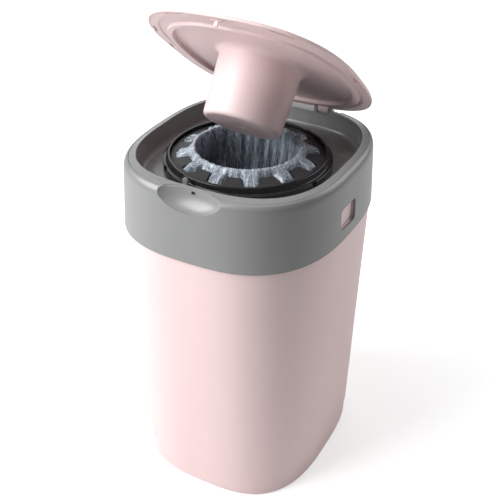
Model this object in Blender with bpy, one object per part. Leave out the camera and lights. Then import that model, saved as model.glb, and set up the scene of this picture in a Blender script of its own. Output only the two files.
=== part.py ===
"""Nappy bin with a sprung film cassette, a turntable and a hinged plunger lid.

A tapered tub carries a lift-off head. The head holds a turntable with a film
cassette, and a domed lid whose plunger cup pushes a nappy through the film.
Metres, +Z up, front at -Y, origin at the centre of the base.
"""
import math
from dataclasses import dataclass, replace

import bmesh
import bpy
from mathutils import Matrix, Vector

MM = 0.001
TURN = math.tau
CIRCLE = 2.0
UP = Vector((0, 0, 1))
ALONG_X = Vector((1, 0, 0))

# Fineness of the outlines
SIDES = 48
FILM_SIDES = 28
PIN_SIDES = 16
SMOOTH_ANGLE = math.radians(35)
MERGE_DISTANCE = 0.001 * MM

# Clearances shared by all pieces
GAP = 0.3 * MM
RUNNING_GAP = 0.4 * MM
OVERRUN = 1.0 * MM

# Heights of the casing: the seam, and what is measured from it
SEAM_HEIGHT = 319.0 * MM
COLLAR_HEIGHT = 72.6 * MM
SHOULDER_DROP = 11.6 * MM
LIP_RISE = 1.8 * MM
WELL_SINK = 21.6 * MM
RIM_HEIGHT = SEAM_HEIGHT + COLLAR_HEIGHT
SHOULDER_HEIGHT = RIM_HEIGHT - SHOULDER_DROP
LIP_HEIGHT = RIM_HEIGHT + LIP_RISE
DECK_HEIGHT = RIM_HEIGHT - WELL_SINK
LID_HEIGHT = LIP_HEIGHT + RUNNING_GAP

# Widths and depths of the casing: the collar, and how far the rest lies inside it
COLLAR_WIDTH = 242.6 * MM
COLLAR_DEPTH = 274.0 * MM
TAPER_WIDTH = 28.2 * MM
TAPER_DEPTH = 22.0 * MM
DRAFT_WIDTH = 2.6 * MM
DRAFT_DEPTH = 12.2 * MM
SHOULDER_TURN_WIDTH = 12.0 * MM
SHOULDER_TURN_DEPTH = 16.2 * MM
LIP_BAND_WIDTH = 13.0 * MM
LIP_BAND_DEPTH = 17.4 * MM
BASE_WIDTH = COLLAR_WIDTH - TAPER_WIDTH
BASE_DEPTH = COLLAR_DEPTH - TAPER_DEPTH
SHOULDER_WIDTH = COLLAR_WIDTH - DRAFT_WIDTH
SHOULDER_DEPTH = COLLAR_DEPTH - DRAFT_DEPTH
RIM_WIDTH = SHOULDER_WIDTH - SHOULDER_TURN_WIDTH
RIM_DEPTH = SHOULDER_DEPTH - SHOULDER_TURN_DEPTH
WELL_WIDTH = RIM_WIDTH - LIP_BAND_WIDTH
WELL_DEPTH = RIM_DEPTH - LIP_BAND_DEPTH
BASE_ROUNDNESS = 2.95
CASING_ROUNDNESS = 2.74
RIM_ROUNDNESS = 2.93

# Tub
TUB_WALL = 2.4 * MM
TUB_FLOOR = 4.0 * MM
TUB_REVEAL = 2.0 * MM
TUB_EDGE = 4.0 * MM
TUB_CORNER = 8.0 * MM
PLINTH_HEIGHT = 24.0 * MM
PLINTH_STEP = 0.9 * MM
NECK_DROP = 6.0 * MM
NECK_HEIGHT = DECK_HEIGHT - NECK_DROP

# Collar and its thumb scoop
COLLAR_WALL = 2.4 * MM
SHOULDER_STEPS = 4
SCOOP_SHARE = 40.0 / 228.0
SCOOP_HALF_LENGTH = RIM_WIDTH * SCOOP_SHARE
SCOOP_HALF_DEPTH = 16.0 * MM
SCOOP_HALF_HEIGHT = 22.0 * MM
SCOOP_STAND_OFF = 2.2 * MM
SCOOP_SKIN = 1.7 * MM
LATCH_HOLE_WIDTH = 4.6 * MM
LATCH_HOLE_HEIGHT = 3.2 * MM
LATCH_HOLE_DROP = 1.8 * MM

# Window for the release button, in each side of the collar
WINDOW_LENGTH = 35.0 * MM
WINDOW_MARGIN = 19.6 * MM
WINDOW_OFFSET = 2.8 * MM
WINDOW_CORNER_SHARE = 6.0 / 25.4
WINDOW_Y = -13.7 * MM
WINDOW_HEIGHT = NECK_HEIGHT - SEAM_HEIGHT - WINDOW_MARGIN
WINDOW_CORNER = WINDOW_HEIGHT * WINDOW_CORNER_SHARE
WINDOW_RISE = (NECK_HEIGHT - SEAM_HEIGHT) / 2 + WINDOW_OFFSET

# Release buttons and their cradles
BUTTON_CLEARANCE = 1.2 * MM
BUTTON_TRAVEL = 3.0 * MM
BUTTON_FLANGE = 3.0 * MM
FLANGE_THICKNESS = 2.0 * MM
BUTTON_BODY = 9.0 * MM
CRADLE_WALL = 2.0 * MM

# Hinge at the back of the head
HINGE_INSET = 4.3 * MM
HINGE_SHARE = 31.5 / 228.0
HINGE_X = RIM_WIDTH * HINGE_SHARE
PIN_RADIUS = 2.0 * MM
KNUCKLE_RADIUS = 4.5 * MM
KNUCKLE_WIDTH = 13.0 * MM
EAR_RADIUS = KNUCKLE_RADIUS - GAP
EAR_WIDTH = 3.5 * MM
EAR_GAP = 1.0 * MM
RECESS_SHARE = 52.0 / 228.0
RECESS_HALF_WIDTH = RIM_WIDTH * RECESS_SHARE
RECESS_CLEARANCE = 0.7 * MM
RECESS_WALL = 2.0 * MM
WEB_REACH = 10.0 * MM
LID_OPEN = math.radians(39.0)
HINGE_Y = RIM_DEPTH / 2 - HINGE_INSET
HINGE_HEIGHT = LID_HEIGHT - GAP
RECESS_FLOOR = HINGE_HEIGHT - KNUCKLE_RADIUS - RECESS_CLEARANCE

# Turntable, as wide as the well allows
TURN_CENTRE_Y = -7.3 * MM
FLANGE_MARGIN = 16.4 * MM
FLANGE_WIDTH = 7.8 * MM
FLANGE_RISE = 10.2 * MM
BEAD_WIDTH = 1.6 * MM
BEAD_FOOT_WIDTH = 3.8 * MM
BEAD_RISE = 6.5 * MM
TURN_NECK_WALL = 3.9 * MM
TURN_NECK_DEPTH = 11.0 * MM
TURN_WALL = 2.2 * MM
TURN_DEPTH = 37.0 * MM
LEDGE_WIDTH = 12.6 * MM
LEDGE_THICKNESS = 2.4 * MM
DECK_RUN = 1.0 * MM
NOTCH_COUNT = 6
NOTCH_FIRST_TURN_SHARE = 46 / 360
NOTCH_WIDTH = 8.0 * MM
NOTCH_DEPTH = 2.2 * MM
NOTCH_HEIGHT = 4.5 * MM
RETAINER_WIDTH = 4.9 * MM
RETAINER_THICKNESS = 3.4 * MM
RETAINER_BEAD = 0.9 * MM
FLANGE_RADIUS = min(WELL_WIDTH / 2, WELL_DEPTH / 2 + TURN_CENTRE_Y) - FLANGE_MARGIN
CRADLE_RADIUS = FLANGE_RADIUS - FLANGE_WIDTH
BEAD_RADIUS = CRADLE_RADIUS + BEAD_WIDTH
BEAD_FOOT_RADIUS = CRADLE_RADIUS + BEAD_FOOT_WIDTH
NECK_RADIUS = CRADLE_RADIUS + TURN_NECK_WALL
LEDGE_RADIUS = CRADLE_RADIUS - LEDGE_WIDTH
RETAINER_RADIUS = NECK_RADIUS + RETAINER_WIDTH
FLANGE_HEIGHT = DECK_HEIGHT + FLANGE_RISE
BEAD_HEIGHT = FLANGE_HEIGHT + BEAD_RISE
NECK_FOOT = DECK_HEIGHT - TURN_NECK_DEPTH
TURN_FOOT = DECK_HEIGHT - TURN_DEPTH

# Inner tray: well, deck and skirt
TRAY_WALL = 2.2 * MM
WELL_DRAFT = 2.5 * MM
WELL_FILLET = 5.0 * MM
DECK_THICKNESS = 2.4 * MM
SKIRT_CLEARANCE = 1.6 * MM
SKIRT_WALL = 2.4 * MM
SKIRT_DEPTH = 58.0 * MM
TICK_CLEARANCE = 6.6 * MM
TICK_LENGTH = 7.5 * MM
TICK_WIDTH = 1.1 * MM
TICK_RISE = 0.6 * MM
TICK_TURN_SHARES = (149 / 360, 177 / 360, 205 / 360, 335 / 360, 3 / 360, 31 / 360)
SKIRT_RADIUS = RETAINER_RADIUS + SKIRT_CLEARANCE
SKIRT_FOOT = DECK_HEIGHT - SKIRT_DEPTH
TICK_INNER_RADIUS = FLANGE_RADIUS + TICK_CLEARANCE

# Click finger that rides on the turntable's rim
FINGER_X = -22.0 * MM
FINGER_WIDTH = 6.0 * MM
FINGER_THICKNESS = 2.6 * MM
FINGER_RISE = 20.2 * MM
FINGER_FOOT_LENGTH = 8.0 * MM
FINGER_FOOT_HEIGHT = 2.0 * MM
FINGER_TOP = DECK_HEIGHT + FINGER_RISE

# Film cassette, inside the turntable
CASSETTE_WALL = 1.5 * MM
CASSETTE_SINK = 0.8 * MM
TROUGH_WIDTH = 25.1 * MM
THROAT_RISE = 8.6 * MM
CAP_THICKNESS = 1.8 * MM
CAP_EDGE_RISE = 3.0 * MM
CAP_RING_WIDTH = 6.0 * MM
CAP_CLEARANCE = 4.0 * MM
CAP_SLOPE = 4.0 * MM
TAB_COUNT = 12
TAB_FIRST_TURN_SHARE = 16 / 360
TAB_ROOT_TURN_SHARE = 17 / 360
TAB_TIP_TURN_SHARE = 11 / 360
CASSETTE_RIM = FLANGE_HEIGHT - CASSETTE_SINK
THROAT_RADIUS = CRADLE_RADIUS - TROUGH_WIDTH
THROAT_TOP = CASSETTE_RIM + THROAT_RISE
CAP_INNER_RADIUS = THROAT_RADIUS + CASSETTE_WALL + CAP_CLEARANCE

# Film: the pleated stock and the sleeve that is drawn from it
PACK_CLEARANCE = 1.2 * MM
PACK_HEADROOM = 5.9 * MM
PLEAT_COUNT = 6
PLEAT_DEPTH = 1.6 * MM
SLEEVE_THICKNESS = 0.8 * MM
HEM_INSET = 2.2 * MM
CREST_RISE = 5.4 * MM
SLEEVE_CLEARANCE = 2.7 * MM
BAG_SHARES = ((0.06, 0.0), (0.3, 0.05), (0.56, 0.12), (0.76, 0.21), (0.88, 0.32), (0.94, 0.48), (0.98, 0.7),
              (1.0, 1.0))
TWIST_RADIUS = 7.0 * MM
TWIST_DROP = 12.0 * MM
KNOT_RADIUS = 10.0 * MM
KNOT_DROP = 18.0 * MM
TAIL_LENGTH = 20.0 * MM
SLEEVE_HEM_RADIUS = CRADLE_RADIUS - RUNNING_GAP - CAP_RING_WIDTH - HEM_INSET
SLEEVE_THROAT_RADIUS = THROAT_RADIUS - SLEEVE_CLEARANCE
CREST_RADIUS = THROAT_RADIUS - GAP
CREST_HEIGHT = THROAT_TOP + CREST_RISE
TWIST_HEIGHT = SKIRT_FOOT - TWIST_DROP
KNOT_HEIGHT = TWIST_HEIGHT - KNOT_DROP
TAIL_HEIGHT = KNOT_HEIGHT - TAIL_LENGTH

# Gripper under the cassette
GRIPPER_THICKNESS = 3.6 * MM
GRIPPER_CLEARANCE = 4.5 * MM
FINGER_RING_WIDTH = 10.0 * MM
PETAL_COUNT = 12
PETAL_THICKNESS = 1.2 * MM
PETAL_CLEARANCE = 2.0 * MM
PETAL_DROP = 20.0 * MM
PETAL_SLIT = 1.2 * MM
GRIPPER_BORE = THROAT_RADIUS + GRIPPER_CLEARANCE
FINGER_RING_RADIUS = GRIPPER_BORE + FINGER_RING_WIDTH
PETAL_TIP_RADIUS = KNOT_RADIUS + PETAL_CLEARANCE

# Film cutter under the gripper plate
CUTTER_INSET = 9.0 * MM
CUTTER_RADIUS = SKIRT_RADIUS - CUTTER_INSET
CUTTER_TURN_SHARE = 45 / 360
CUTTER_LENGTH = 30.0 * MM
CUTTER_WIDTH = 12.0 * MM
CUTTER_HEIGHT = 15.0 * MM
CUTTER_SLOT = 3.0 * MM
BLADE_THICKNESS = 0.6 * MM
BLADE_HEIGHT = 7.0 * MM

# Lid
LID_INSET = 7.4 * MM
LID_OVERHANG = 2.5 * MM
LID_CENTRE_Y = -1.55 * MM
LID_ROUNDNESS = 2.76
LID_WALL = 1.5 * MM
LID_EDGE = 3.2 * MM
LID_EDGE_ROUND = 0.8 * MM
DOME_RISE = 10.0 * MM
DOME_SHARES = ((0.992, 0.05), (0.95, 0.14), (0.88, 0.27), (0.76, 0.46), (0.6, 0.66), (0.4, 0.84), (0.18, 0.96))
RIB_INSET_WIDTH = 27.6 * MM
RIB_INSET_DEPTH = 40.1 * MM
RIB_CENTRE_Y = 3.6 * MM
RIB_ROUNDNESS = 2.6
RIB_THICKNESS = 5.0 * MM
RIB_DROP = 2.0 * MM
SKIRT_STEP_INSET = 11.0 * MM
SKIRT_STEP = 1.2 * MM
PANEL_RISE = 2.5 * MM
LID_WIDTH = RIM_WIDTH - LID_INSET
LID_DEPTH = RIM_DEPTH + LID_OVERHANG
RIB_WIDTH = LID_WIDTH - RIB_INSET_WIDTH
RIB_DEPTH = LID_DEPTH - RIB_INSET_DEPTH

# Plunger cup under the lid, which stays clear of the bag
CUP_CLEARANCE = 25.2 * MM
CUP_SIDE_CLEARANCE = 13.3 * MM
CUP_DRAFT = 2.5 * MM
CUP_EDGE = 3.6 * MM
CUP_FLARE_SPREAD = 8.0 * MM
CUP_FLARE_DROP = 8.0 * MM
FLARE_STEPS = 4
CUP_LENGTH = LID_HEIGHT - TWIST_HEIGHT - CUP_CLEARANCE
CUP_TIP_RADIUS = SLEEVE_THROAT_RADIUS - CUP_SIDE_CLEARANCE
CUP_ROOT_RADIUS = CUP_TIP_RADIUS + CUP_DRAFT
CUP_FLARE_RADIUS = CUP_ROOT_RADIUS + CUP_FLARE_SPREAD

# Lid catch
CATCH_WIDTH = 4.0 * MM
CATCH_THICKNESS = 1.4 * MM
CATCH_NOSE = 0.9 * MM
CATCH_NOSE_HEIGHT = 2.0 * MM
CATCH_BASE_WIDTH = 12.0 * MM
CATCH_BASE_THICKNESS = 1.0 * MM

# Colours, roughness and metallic value of each finish
FINISHES = {
    "pink": ((0.93, 0.77, 0.76), 0.42, 0.0),
    "pink_inside": ((0.86, 0.70, 0.69), 0.45, 0.0),
    "grey": ((0.42, 0.42, 0.43), 0.45, 0.0),
    "grey_inside": ((0.34, 0.34, 0.35), 0.50, 0.0),
    "black": ((0.015, 0.015, 0.016), 0.22, 0.0),
    "charcoal": ((0.045, 0.045, 0.048), 0.40, 0.0),
    "film": ((0.62, 0.68, 0.76), 0.30, 0.0),
    "rubber": ((0.10, 0.10, 0.11), 0.70, 0.0),
    "steel": ((0.62, 0.62, 0.63), 0.28, 1.0),
}


@dataclass(frozen=True)
class Plan:
    """An outline seen from above, from an ellipse to a rounded box."""

    half_width: float
    half_depth: float
    exponent: float = CIRCLE
    centre_y: float = 0.0

    def grown(self, amount):
        """Return the outline moved outwards all round."""
        return replace(self, half_width=self.half_width + amount, half_depth=self.half_depth + amount)

    def toward(self, other, share):
        """Return an outline part of the way to another one."""
        def mix(start, end):
            return start + (end - start) * share
        return Plan(mix(self.half_width, other.half_width), mix(self.half_depth, other.half_depth),
                    mix(self.exponent, other.exponent), mix(self.centre_y, other.centre_y))

    def scaled(self, share):
        """Return the outline drawn in to its centre."""
        return replace(self, half_width=self.half_width * share, half_depth=self.half_depth * share)

    def points(self, height, sides):
        """Return the outline's points at a height, evenly spread by angle."""
        found = []
        for step in range(sides):
            angle = TURN * step / sides
            across = abs(math.cos(angle) / self.half_width) ** self.exponent
            along = abs(math.sin(angle) / self.half_depth) ** self.exponent
            reach = (across + along) ** (-1 / self.exponent)
            found.append(Vector((reach * math.cos(angle), self.centre_y + reach * math.sin(angle), height)))
        return found


def disc(radius, centre_y=TURN_CENTRE_Y):
    """Return a round outline about the turntable's axis."""
    return Plan(radius, radius, CIRCLE, centre_y)


BASE_PLAN = Plan(BASE_WIDTH / 2, BASE_DEPTH / 2, BASE_ROUNDNESS)
COLLAR_PLAN = Plan(COLLAR_WIDTH / 2, COLLAR_DEPTH / 2, CASING_ROUNDNESS)
SHOULDER_PLAN = Plan(SHOULDER_WIDTH / 2, SHOULDER_DEPTH / 2, CASING_ROUNDNESS)
RIM_PLAN = Plan(RIM_WIDTH / 2, RIM_DEPTH / 2, RIM_ROUNDNESS)
WELL_PLAN = Plan(WELL_WIDTH / 2, WELL_DEPTH / 2, RIM_ROUNDNESS)
LID_PLAN = Plan(LID_WIDTH / 2, LID_DEPTH / 2, LID_ROUNDNESS, LID_CENTRE_Y)
RIB_PLAN = Plan(RIB_WIDTH / 2, RIB_DEPTH / 2, RIB_ROUNDNESS, RIB_CENTRE_Y)


def clear_scene():
    """Remove every object that the scene starts with."""
    for item in list(bpy.data.objects):
        bpy.data.objects.remove(item, do_unlink=True)


def finish_material(name):
    """Return the material of a finish, made once."""
    found = bpy.data.materials.get(name)
    if found:
        return found
    colour, roughness, metallic = FINISHES[name]
    made = bpy.data.materials.new(name)
    made.use_nodes = True
    shader = made.node_tree.nodes["Principled BSDF"]
    shader.inputs["Base Color"].default_value = (*colour, 1.0)
    shader.inputs["Roughness"].default_value = roughness
    shader.inputs["Metallic"].default_value = metallic
    made.diffuse_color = (*colour, 1.0)
    return made


def finished(name, form, finish=None):
    """Turn a bmesh into an object with outward faces and its finish."""
    bmesh.ops.remove_doubles(form, verts=form.verts, dist=MERGE_DISTANCE)
    bmesh.ops.recalc_face_normals(form, faces=form.faces)
    mesh = bpy.data.meshes.new(name)
    form.to_mesh(mesh)
    form.free()
    mesh.shade_smooth()
    mesh.set_sharp_from_angle(angle=SMOOTH_ANGLE)
    made = bpy.data.objects.new(name, mesh)
    bpy.context.scene.collection.objects.link(made)
    if finish:
        mesh.materials.append(finish_material(finish))
    return made


def closed_ring(form, points):
    """Add a closed ring of edges through the points."""
    verts = [form.verts.new(point) for point in points]
    return [form.edges.new((verts[i - 1], verts[i])) for i in range(len(verts))]


def carried(form, ring, points):
    """Extrude a closed ring of vertices to new points and return the new ring."""
    edges = [form.edges.get((ring[i - 1], ring[i])) for i in range(len(ring))]
    grown = bmesh.ops.extrude_edge_only(form, edges=edges)["geom"]
    fresh = {item for item in grown if isinstance(item, bmesh.types.BMVert)}
    found = []
    for vert, point in zip(ring, points):
        twin = next(edge.other_vert(vert) for edge in vert.link_edges if edge.other_vert(vert) in fresh)
        twin.co = point
        found.append(twin)
    return found


def loft(name, stations, finish=None, tube=False, sides=SIDES):
    """Skin outlines at heights; a tube joins its last outline to its first."""
    form = bmesh.new()
    outlines = [plan.points(height, sides) for plan, height in stations]
    if tube:
        outlines.append(outlines[0])
    first = [form.verts.new(point) for point in outlines[0]]
    ends = [[form.edges.new((first[i - 1], first[i])) for i in range(sides)]]
    ring = first
    for points in outlines[1:]:
        ring = carried(form, ring, points)
    ends.append([form.edges.get((ring[i - 1], ring[i])) for i in range(sides)])
    if not tube:
        for end in ends:
            bmesh.ops.contextual_create(form, geom=end)
    return finished(name, form, finish)


def turned(name, profile, finish=None, tube=True, sides=SIDES):
    """Turn (radius, height) points about the turntable's axis."""
    return loft(name, [(disc(radius), height) for radius, height in profile], finish, tube, sides)


def block(name, low, high, finish=None):
    """Make a box from its lowest and highest corners."""
    form = bmesh.new()
    low, high = Vector(low), Vector(high)
    place = Matrix.Translation((low + high) / 2) @ Matrix.Diagonal((*(high - low), 1.0))
    bmesh.ops.create_cube(form, size=1.0, matrix=place)
    return finished(name, form, finish)


def rod(name, start, end, radius, finish=None, sides=PIN_SIDES):
    """Make a round rod between two points."""
    form = bmesh.new()
    start, end = Vector(start), Vector(end)
    run = end - start
    place = Matrix.Translation((start + end) / 2) @ UP.rotation_difference(run).to_matrix().to_4x4()
    bmesh.ops.create_cone(form, cap_ends=True, segments=sides, radius1=radius, radius2=radius,
                          depth=run.length, matrix=place)
    return finished(name, form, finish)


def prism(name, outline, run, finish=None):
    """Extrude a flat outline of points along a run."""
    form = bmesh.new()
    edges = closed_ring(form, outline)
    face = bmesh.ops.contextual_create(form, geom=edges)["faces"]
    grown = bmesh.ops.extrude_face_region(form, geom=face)["geom"]
    moved = [item for item in grown if isinstance(item, bmesh.types.BMVert)]
    bmesh.ops.translate(form, verts=moved, vec=run)
    return finished(name, form, finish)


def ellipsoid(name, centre, half_sizes):
    """Make an ellipsoid for a dished cut."""
    form = bmesh.new()
    place = Matrix.Translation(centre) @ Matrix.Diagonal((*half_sizes, 1.0))
    bmesh.ops.create_uvsphere(form, u_segments=SIDES // 2, v_segments=SIDES // 3, radius=1.0, matrix=place)
    return finished(name, form)


def combine(target, tool, operation):
    """Apply a Boolean of one object on another and remove the tool."""
    step = target.modifiers.new("combine", "BOOLEAN")
    step.operation = operation
    step.solver = "EXACT"
    step.object = tool
    state = bpy.context.evaluated_depsgraph_get()
    result = bpy.data.meshes.new_from_object(target.evaluated_get(state))
    target.modifiers.clear()
    old = target.data
    kept = list(old.materials)
    target.data = result
    result.materials.clear()
    for material in kept:
        result.materials.append(material)
    result.polygons.foreach_set("material_index", [0] * len(result.polygons))
    bpy.data.meshes.remove(old)
    bpy.data.objects.remove(tool, do_unlink=True)
    result.shade_smooth()
    result.set_sharp_from_angle(angle=SMOOTH_ANGLE)
    return target


def cut(target, tool):
    """Take the tool's shape out of the target."""
    return combine(target, tool, "DIFFERENCE")


def join(target, tool):
    """Fuse the tool's shape to the target."""
    return combine(target, tool, "UNION")


def turn_about(item, centre, axis, angle):
    """Turn an object's mesh about a line."""
    centre = Vector(centre)
    item.data.transform(Matrix.Translation(centre) @ Matrix.Rotation(angle, 4, axis) @ Matrix.Translation(-centre))
    return item


def turntable_point(radius, turn_share, height):
    """Return a point about the turntable's axis."""
    angle = TURN * turn_share
    return Vector((radius * math.cos(angle), TURN_CENTRE_Y + radius * math.sin(angle), height))


def collar_plan(height):
    """Return the collar's outer outline at a height under its shoulder."""
    return COLLAR_PLAN.toward(SHOULDER_PLAN, (height - SEAM_HEIGHT) / (SHOULDER_HEIGHT - SEAM_HEIGHT))


def shoulder_stations(skin, steps=SHOULDER_STEPS):
    """Return the rounded shoulder, from the rim down, for a surface that far inside."""
    found = []
    side = SHOULDER_PLAN.grown(-skin)
    top = RIM_HEIGHT - skin
    for step in range(steps + 1):
        angle = TURN / 4 * step / steps
        height = SHOULDER_HEIGHT + (top - SHOULDER_HEIGHT) * math.cos(angle)
        found.append((RIM_PLAN.toward(side, math.sin(angle)), height))
    return found


def neck_plan(height):
    """Return the outline of the tub's neck, which slides inside the collar."""
    return collar_plan(height).grown(-COLLAR_WALL - RUNNING_GAP)


def window_outline(x, grow):
    """Return the window's rounded outline in the plane x, grown all round."""
    corner = WINDOW_CORNER + grow
    half_length, half_height = WINDOW_LENGTH / 2 + grow, WINDOW_HEIGHT / 2 + grow
    middle = SEAM_HEIGHT + WINDOW_RISE
    found = []
    steps = 4
    for quarter, (side_y, side_z) in enumerate(((1, 1), (-1, 1), (-1, -1), (1, -1))):
        for step in range(steps + 1):
            angle = TURN / 4 * (quarter + step / steps)
            y = WINDOW_Y + side_y * (half_length - corner) + corner * math.cos(angle)
            z = middle + side_z * (half_height - corner) + corner * math.sin(angle)
            found.append(Vector((x, y, z)))
    return found


def window_prism(name, side, inner_x, outer_x, grow, finish=None):
    """Extrude the window's outline between two distances from the middle."""
    return prism(name, window_outline(side * inner_x, grow), Vector((side * (outer_x - inner_x), 0, 0)), finish)


def button_seat_x():
    """Return how far out the flange's front face lies, clear of the neck's curved wall."""
    edge_y = abs(WINDOW_Y) + WINDOW_LENGTH / 2 + BUTTON_FLANGE
    top = SEAM_HEIGHT + WINDOW_RISE + WINDOW_HEIGHT / 2 + BUTTON_FLANGE
    plan = neck_plan(top).grown(-TUB_WALL)
    share = (edge_y / plan.half_depth) ** plan.exponent
    return plan.half_width * (1 - share) ** (1 / plan.exponent) - GAP


def scoop(name, grow):
    """Make the ellipsoid that dishes the collar's front."""
    centre = (0, -SHOULDER_DEPTH / 2 - SCOOP_STAND_OFF, RIM_HEIGHT + SCOOP_STAND_OFF)
    return ellipsoid(name, Vector(centre), (SCOOP_HALF_LENGTH + grow, SCOOP_HALF_DEPTH + grow,
                                            SCOOP_HALF_HEIGHT + grow))


def scoop_wall_y():
    """Return where the scoop's back wall stands."""
    return -SHOULDER_DEPTH / 2 - SCOOP_STAND_OFF + SCOOP_HALF_DEPTH


def recess_box(name, grow, floor):
    """Make the box that clears the lid's back edge above the hinge recess's floor."""
    return block(name, (-RECESS_HALF_WIDTH - grow, WELL_DEPTH / 2 - TRAY_WALL, floor),
                 (RECESS_HALF_WIDTH + grow, COLLAR_DEPTH, LIP_HEIGHT + LID_EDGE))


def make_tub():
    """The pink tub, with its neck, the button windows and their cradles."""
    top = COLLAR_PLAN.grown(-TUB_REVEAL)
    plinth = BASE_PLAN.toward(top, PLINTH_HEIGHT / SEAM_HEIGHT)
    ledge = SEAM_HEIGHT - GAP
    stations = [
        (BASE_PLAN.grown(-TUB_EDGE), 0),
        (BASE_PLAN.grown(-TUB_EDGE / 3 - PLINTH_STEP), TUB_EDGE / 3),
        (BASE_PLAN.grown(-PLINTH_STEP), TUB_EDGE),
        (plinth.grown(-PLINTH_STEP), PLINTH_HEIGHT),
        (plinth, PLINTH_HEIGHT + PLINTH_STEP),
        (top, ledge),
        (neck_plan(SEAM_HEIGHT), ledge),
        (neck_plan(NECK_HEIGHT), NECK_HEIGHT),
        (neck_plan(NECK_HEIGHT).grown(-TUB_WALL), NECK_HEIGHT),
        (neck_plan(SEAM_HEIGHT).grown(-TUB_WALL), SEAM_HEIGHT),
        (neck_plan(SEAM_HEIGHT).grown(-TUB_WALL), SEAM_HEIGHT - TUB_CORNER),
        (BASE_PLAN.grown(-TUB_WALL - PLINTH_STEP), TUB_FLOOR + TUB_CORNER),
        (BASE_PLAN.grown(-TUB_WALL - TUB_CORNER), TUB_FLOOR),
    ]
    tub = loft("tub", stations, "pink")
    for side in (1, -1):
        join(tub, make_cradle(side))
        cut(tub, window_prism("hole", side, button_seat_x(), COLLAR_WIDTH, -RUNNING_GAP))
    return tub


def make_cradle(side):
    """The channel inside the neck that guides a release button."""
    seat = button_seat_x()
    room = BUTTON_FLANGE + RUNNING_GAP
    back = seat - BUTTON_BODY - BUTTON_TRAVEL - RUNNING_GAP
    wall = seat + GAP + TUB_WALL / 2
    half_length = WINDOW_LENGTH / 2 + room
    half_height = WINDOW_HEIGHT / 2 + room
    middle = SEAM_HEIGHT + WINDOW_RISE
    xs = sorted((side * (back - CRADLE_WALL), side * wall))
    outer = block("cradle", (xs[0], WINDOW_Y - half_length - CRADLE_WALL, middle - half_height - CRADLE_WALL),
                  (xs[1], WINDOW_Y + half_length + CRADLE_WALL, middle + half_height + CRADLE_WALL))
    xs = sorted((side * back, side * COLLAR_WIDTH))
    inner = block("room", (xs[0], WINDOW_Y - half_length, middle - half_height),
                  (xs[1], WINDOW_Y + half_length, middle + half_height))
    return cut(outer, inner)


def make_release_button(side, name):
    """A pink push button with a flange behind the neck's wall."""
    seat = button_seat_x()
    face = neck_plan(SEAM_HEIGHT + WINDOW_RISE).half_width - BUTTON_CLEARANCE
    button = window_prism(name, side, seat - BUTTON_BODY, face, -BUTTON_CLEARANCE - RUNNING_GAP, "pink")
    return join(button, window_prism("flange", side, seat - FLANGE_THICKNESS, seat, BUTTON_FLANGE))


def make_collar():
    """The grey outer shell of the head, with its scoop, windows and latch hole."""
    outer = [(COLLAR_PLAN, SEAM_HEIGHT)] + shoulder_stations(0)[::-1]
    inner = shoulder_stations(COLLAR_WALL) + [(COLLAR_PLAN.grown(-COLLAR_WALL), SEAM_HEIGHT)]
    collar = loft("collar", outer + inner, "grey", tube=True)
    bury = COLLAR_WALL / 2
    envelope = loft("envelope", [(COLLAR_PLAN.grown(-bury), SEAM_HEIGHT)] + shoulder_stations(bury)[:0:-1] + [
        (RIM_PLAN.grown(bury / 2), RIM_HEIGHT - bury), (WELL_PLAN.grown(SCOOP_SKIN), LIP_HEIGHT)])
    dish = combine(scoop("dish", SCOOP_SKIN), envelope, "INTERSECT")
    join(collar, dish)
    cut(collar, scoop("scoop", 0))
    hole_top = RIM_HEIGHT - LATCH_HOLE_DROP
    wall = scoop_wall_y()
    cut(collar, block("latch_hole", (-LATCH_HOLE_WIDTH / 2, wall - SCOOP_SKIN, hole_top - LATCH_HOLE_HEIGHT),
                      (LATCH_HOLE_WIDTH / 2, wall + SCOOP_SKIN + OVERRUN, hole_top)))
    for side in (1, -1):
        cut(collar, window_prism("window", side, SHOULDER_WIDTH / 3, COLLAR_WIDTH, 0))
    cut(collar, recess_box("recess", GAP, RECESS_FLOOR))
    return collar


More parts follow.
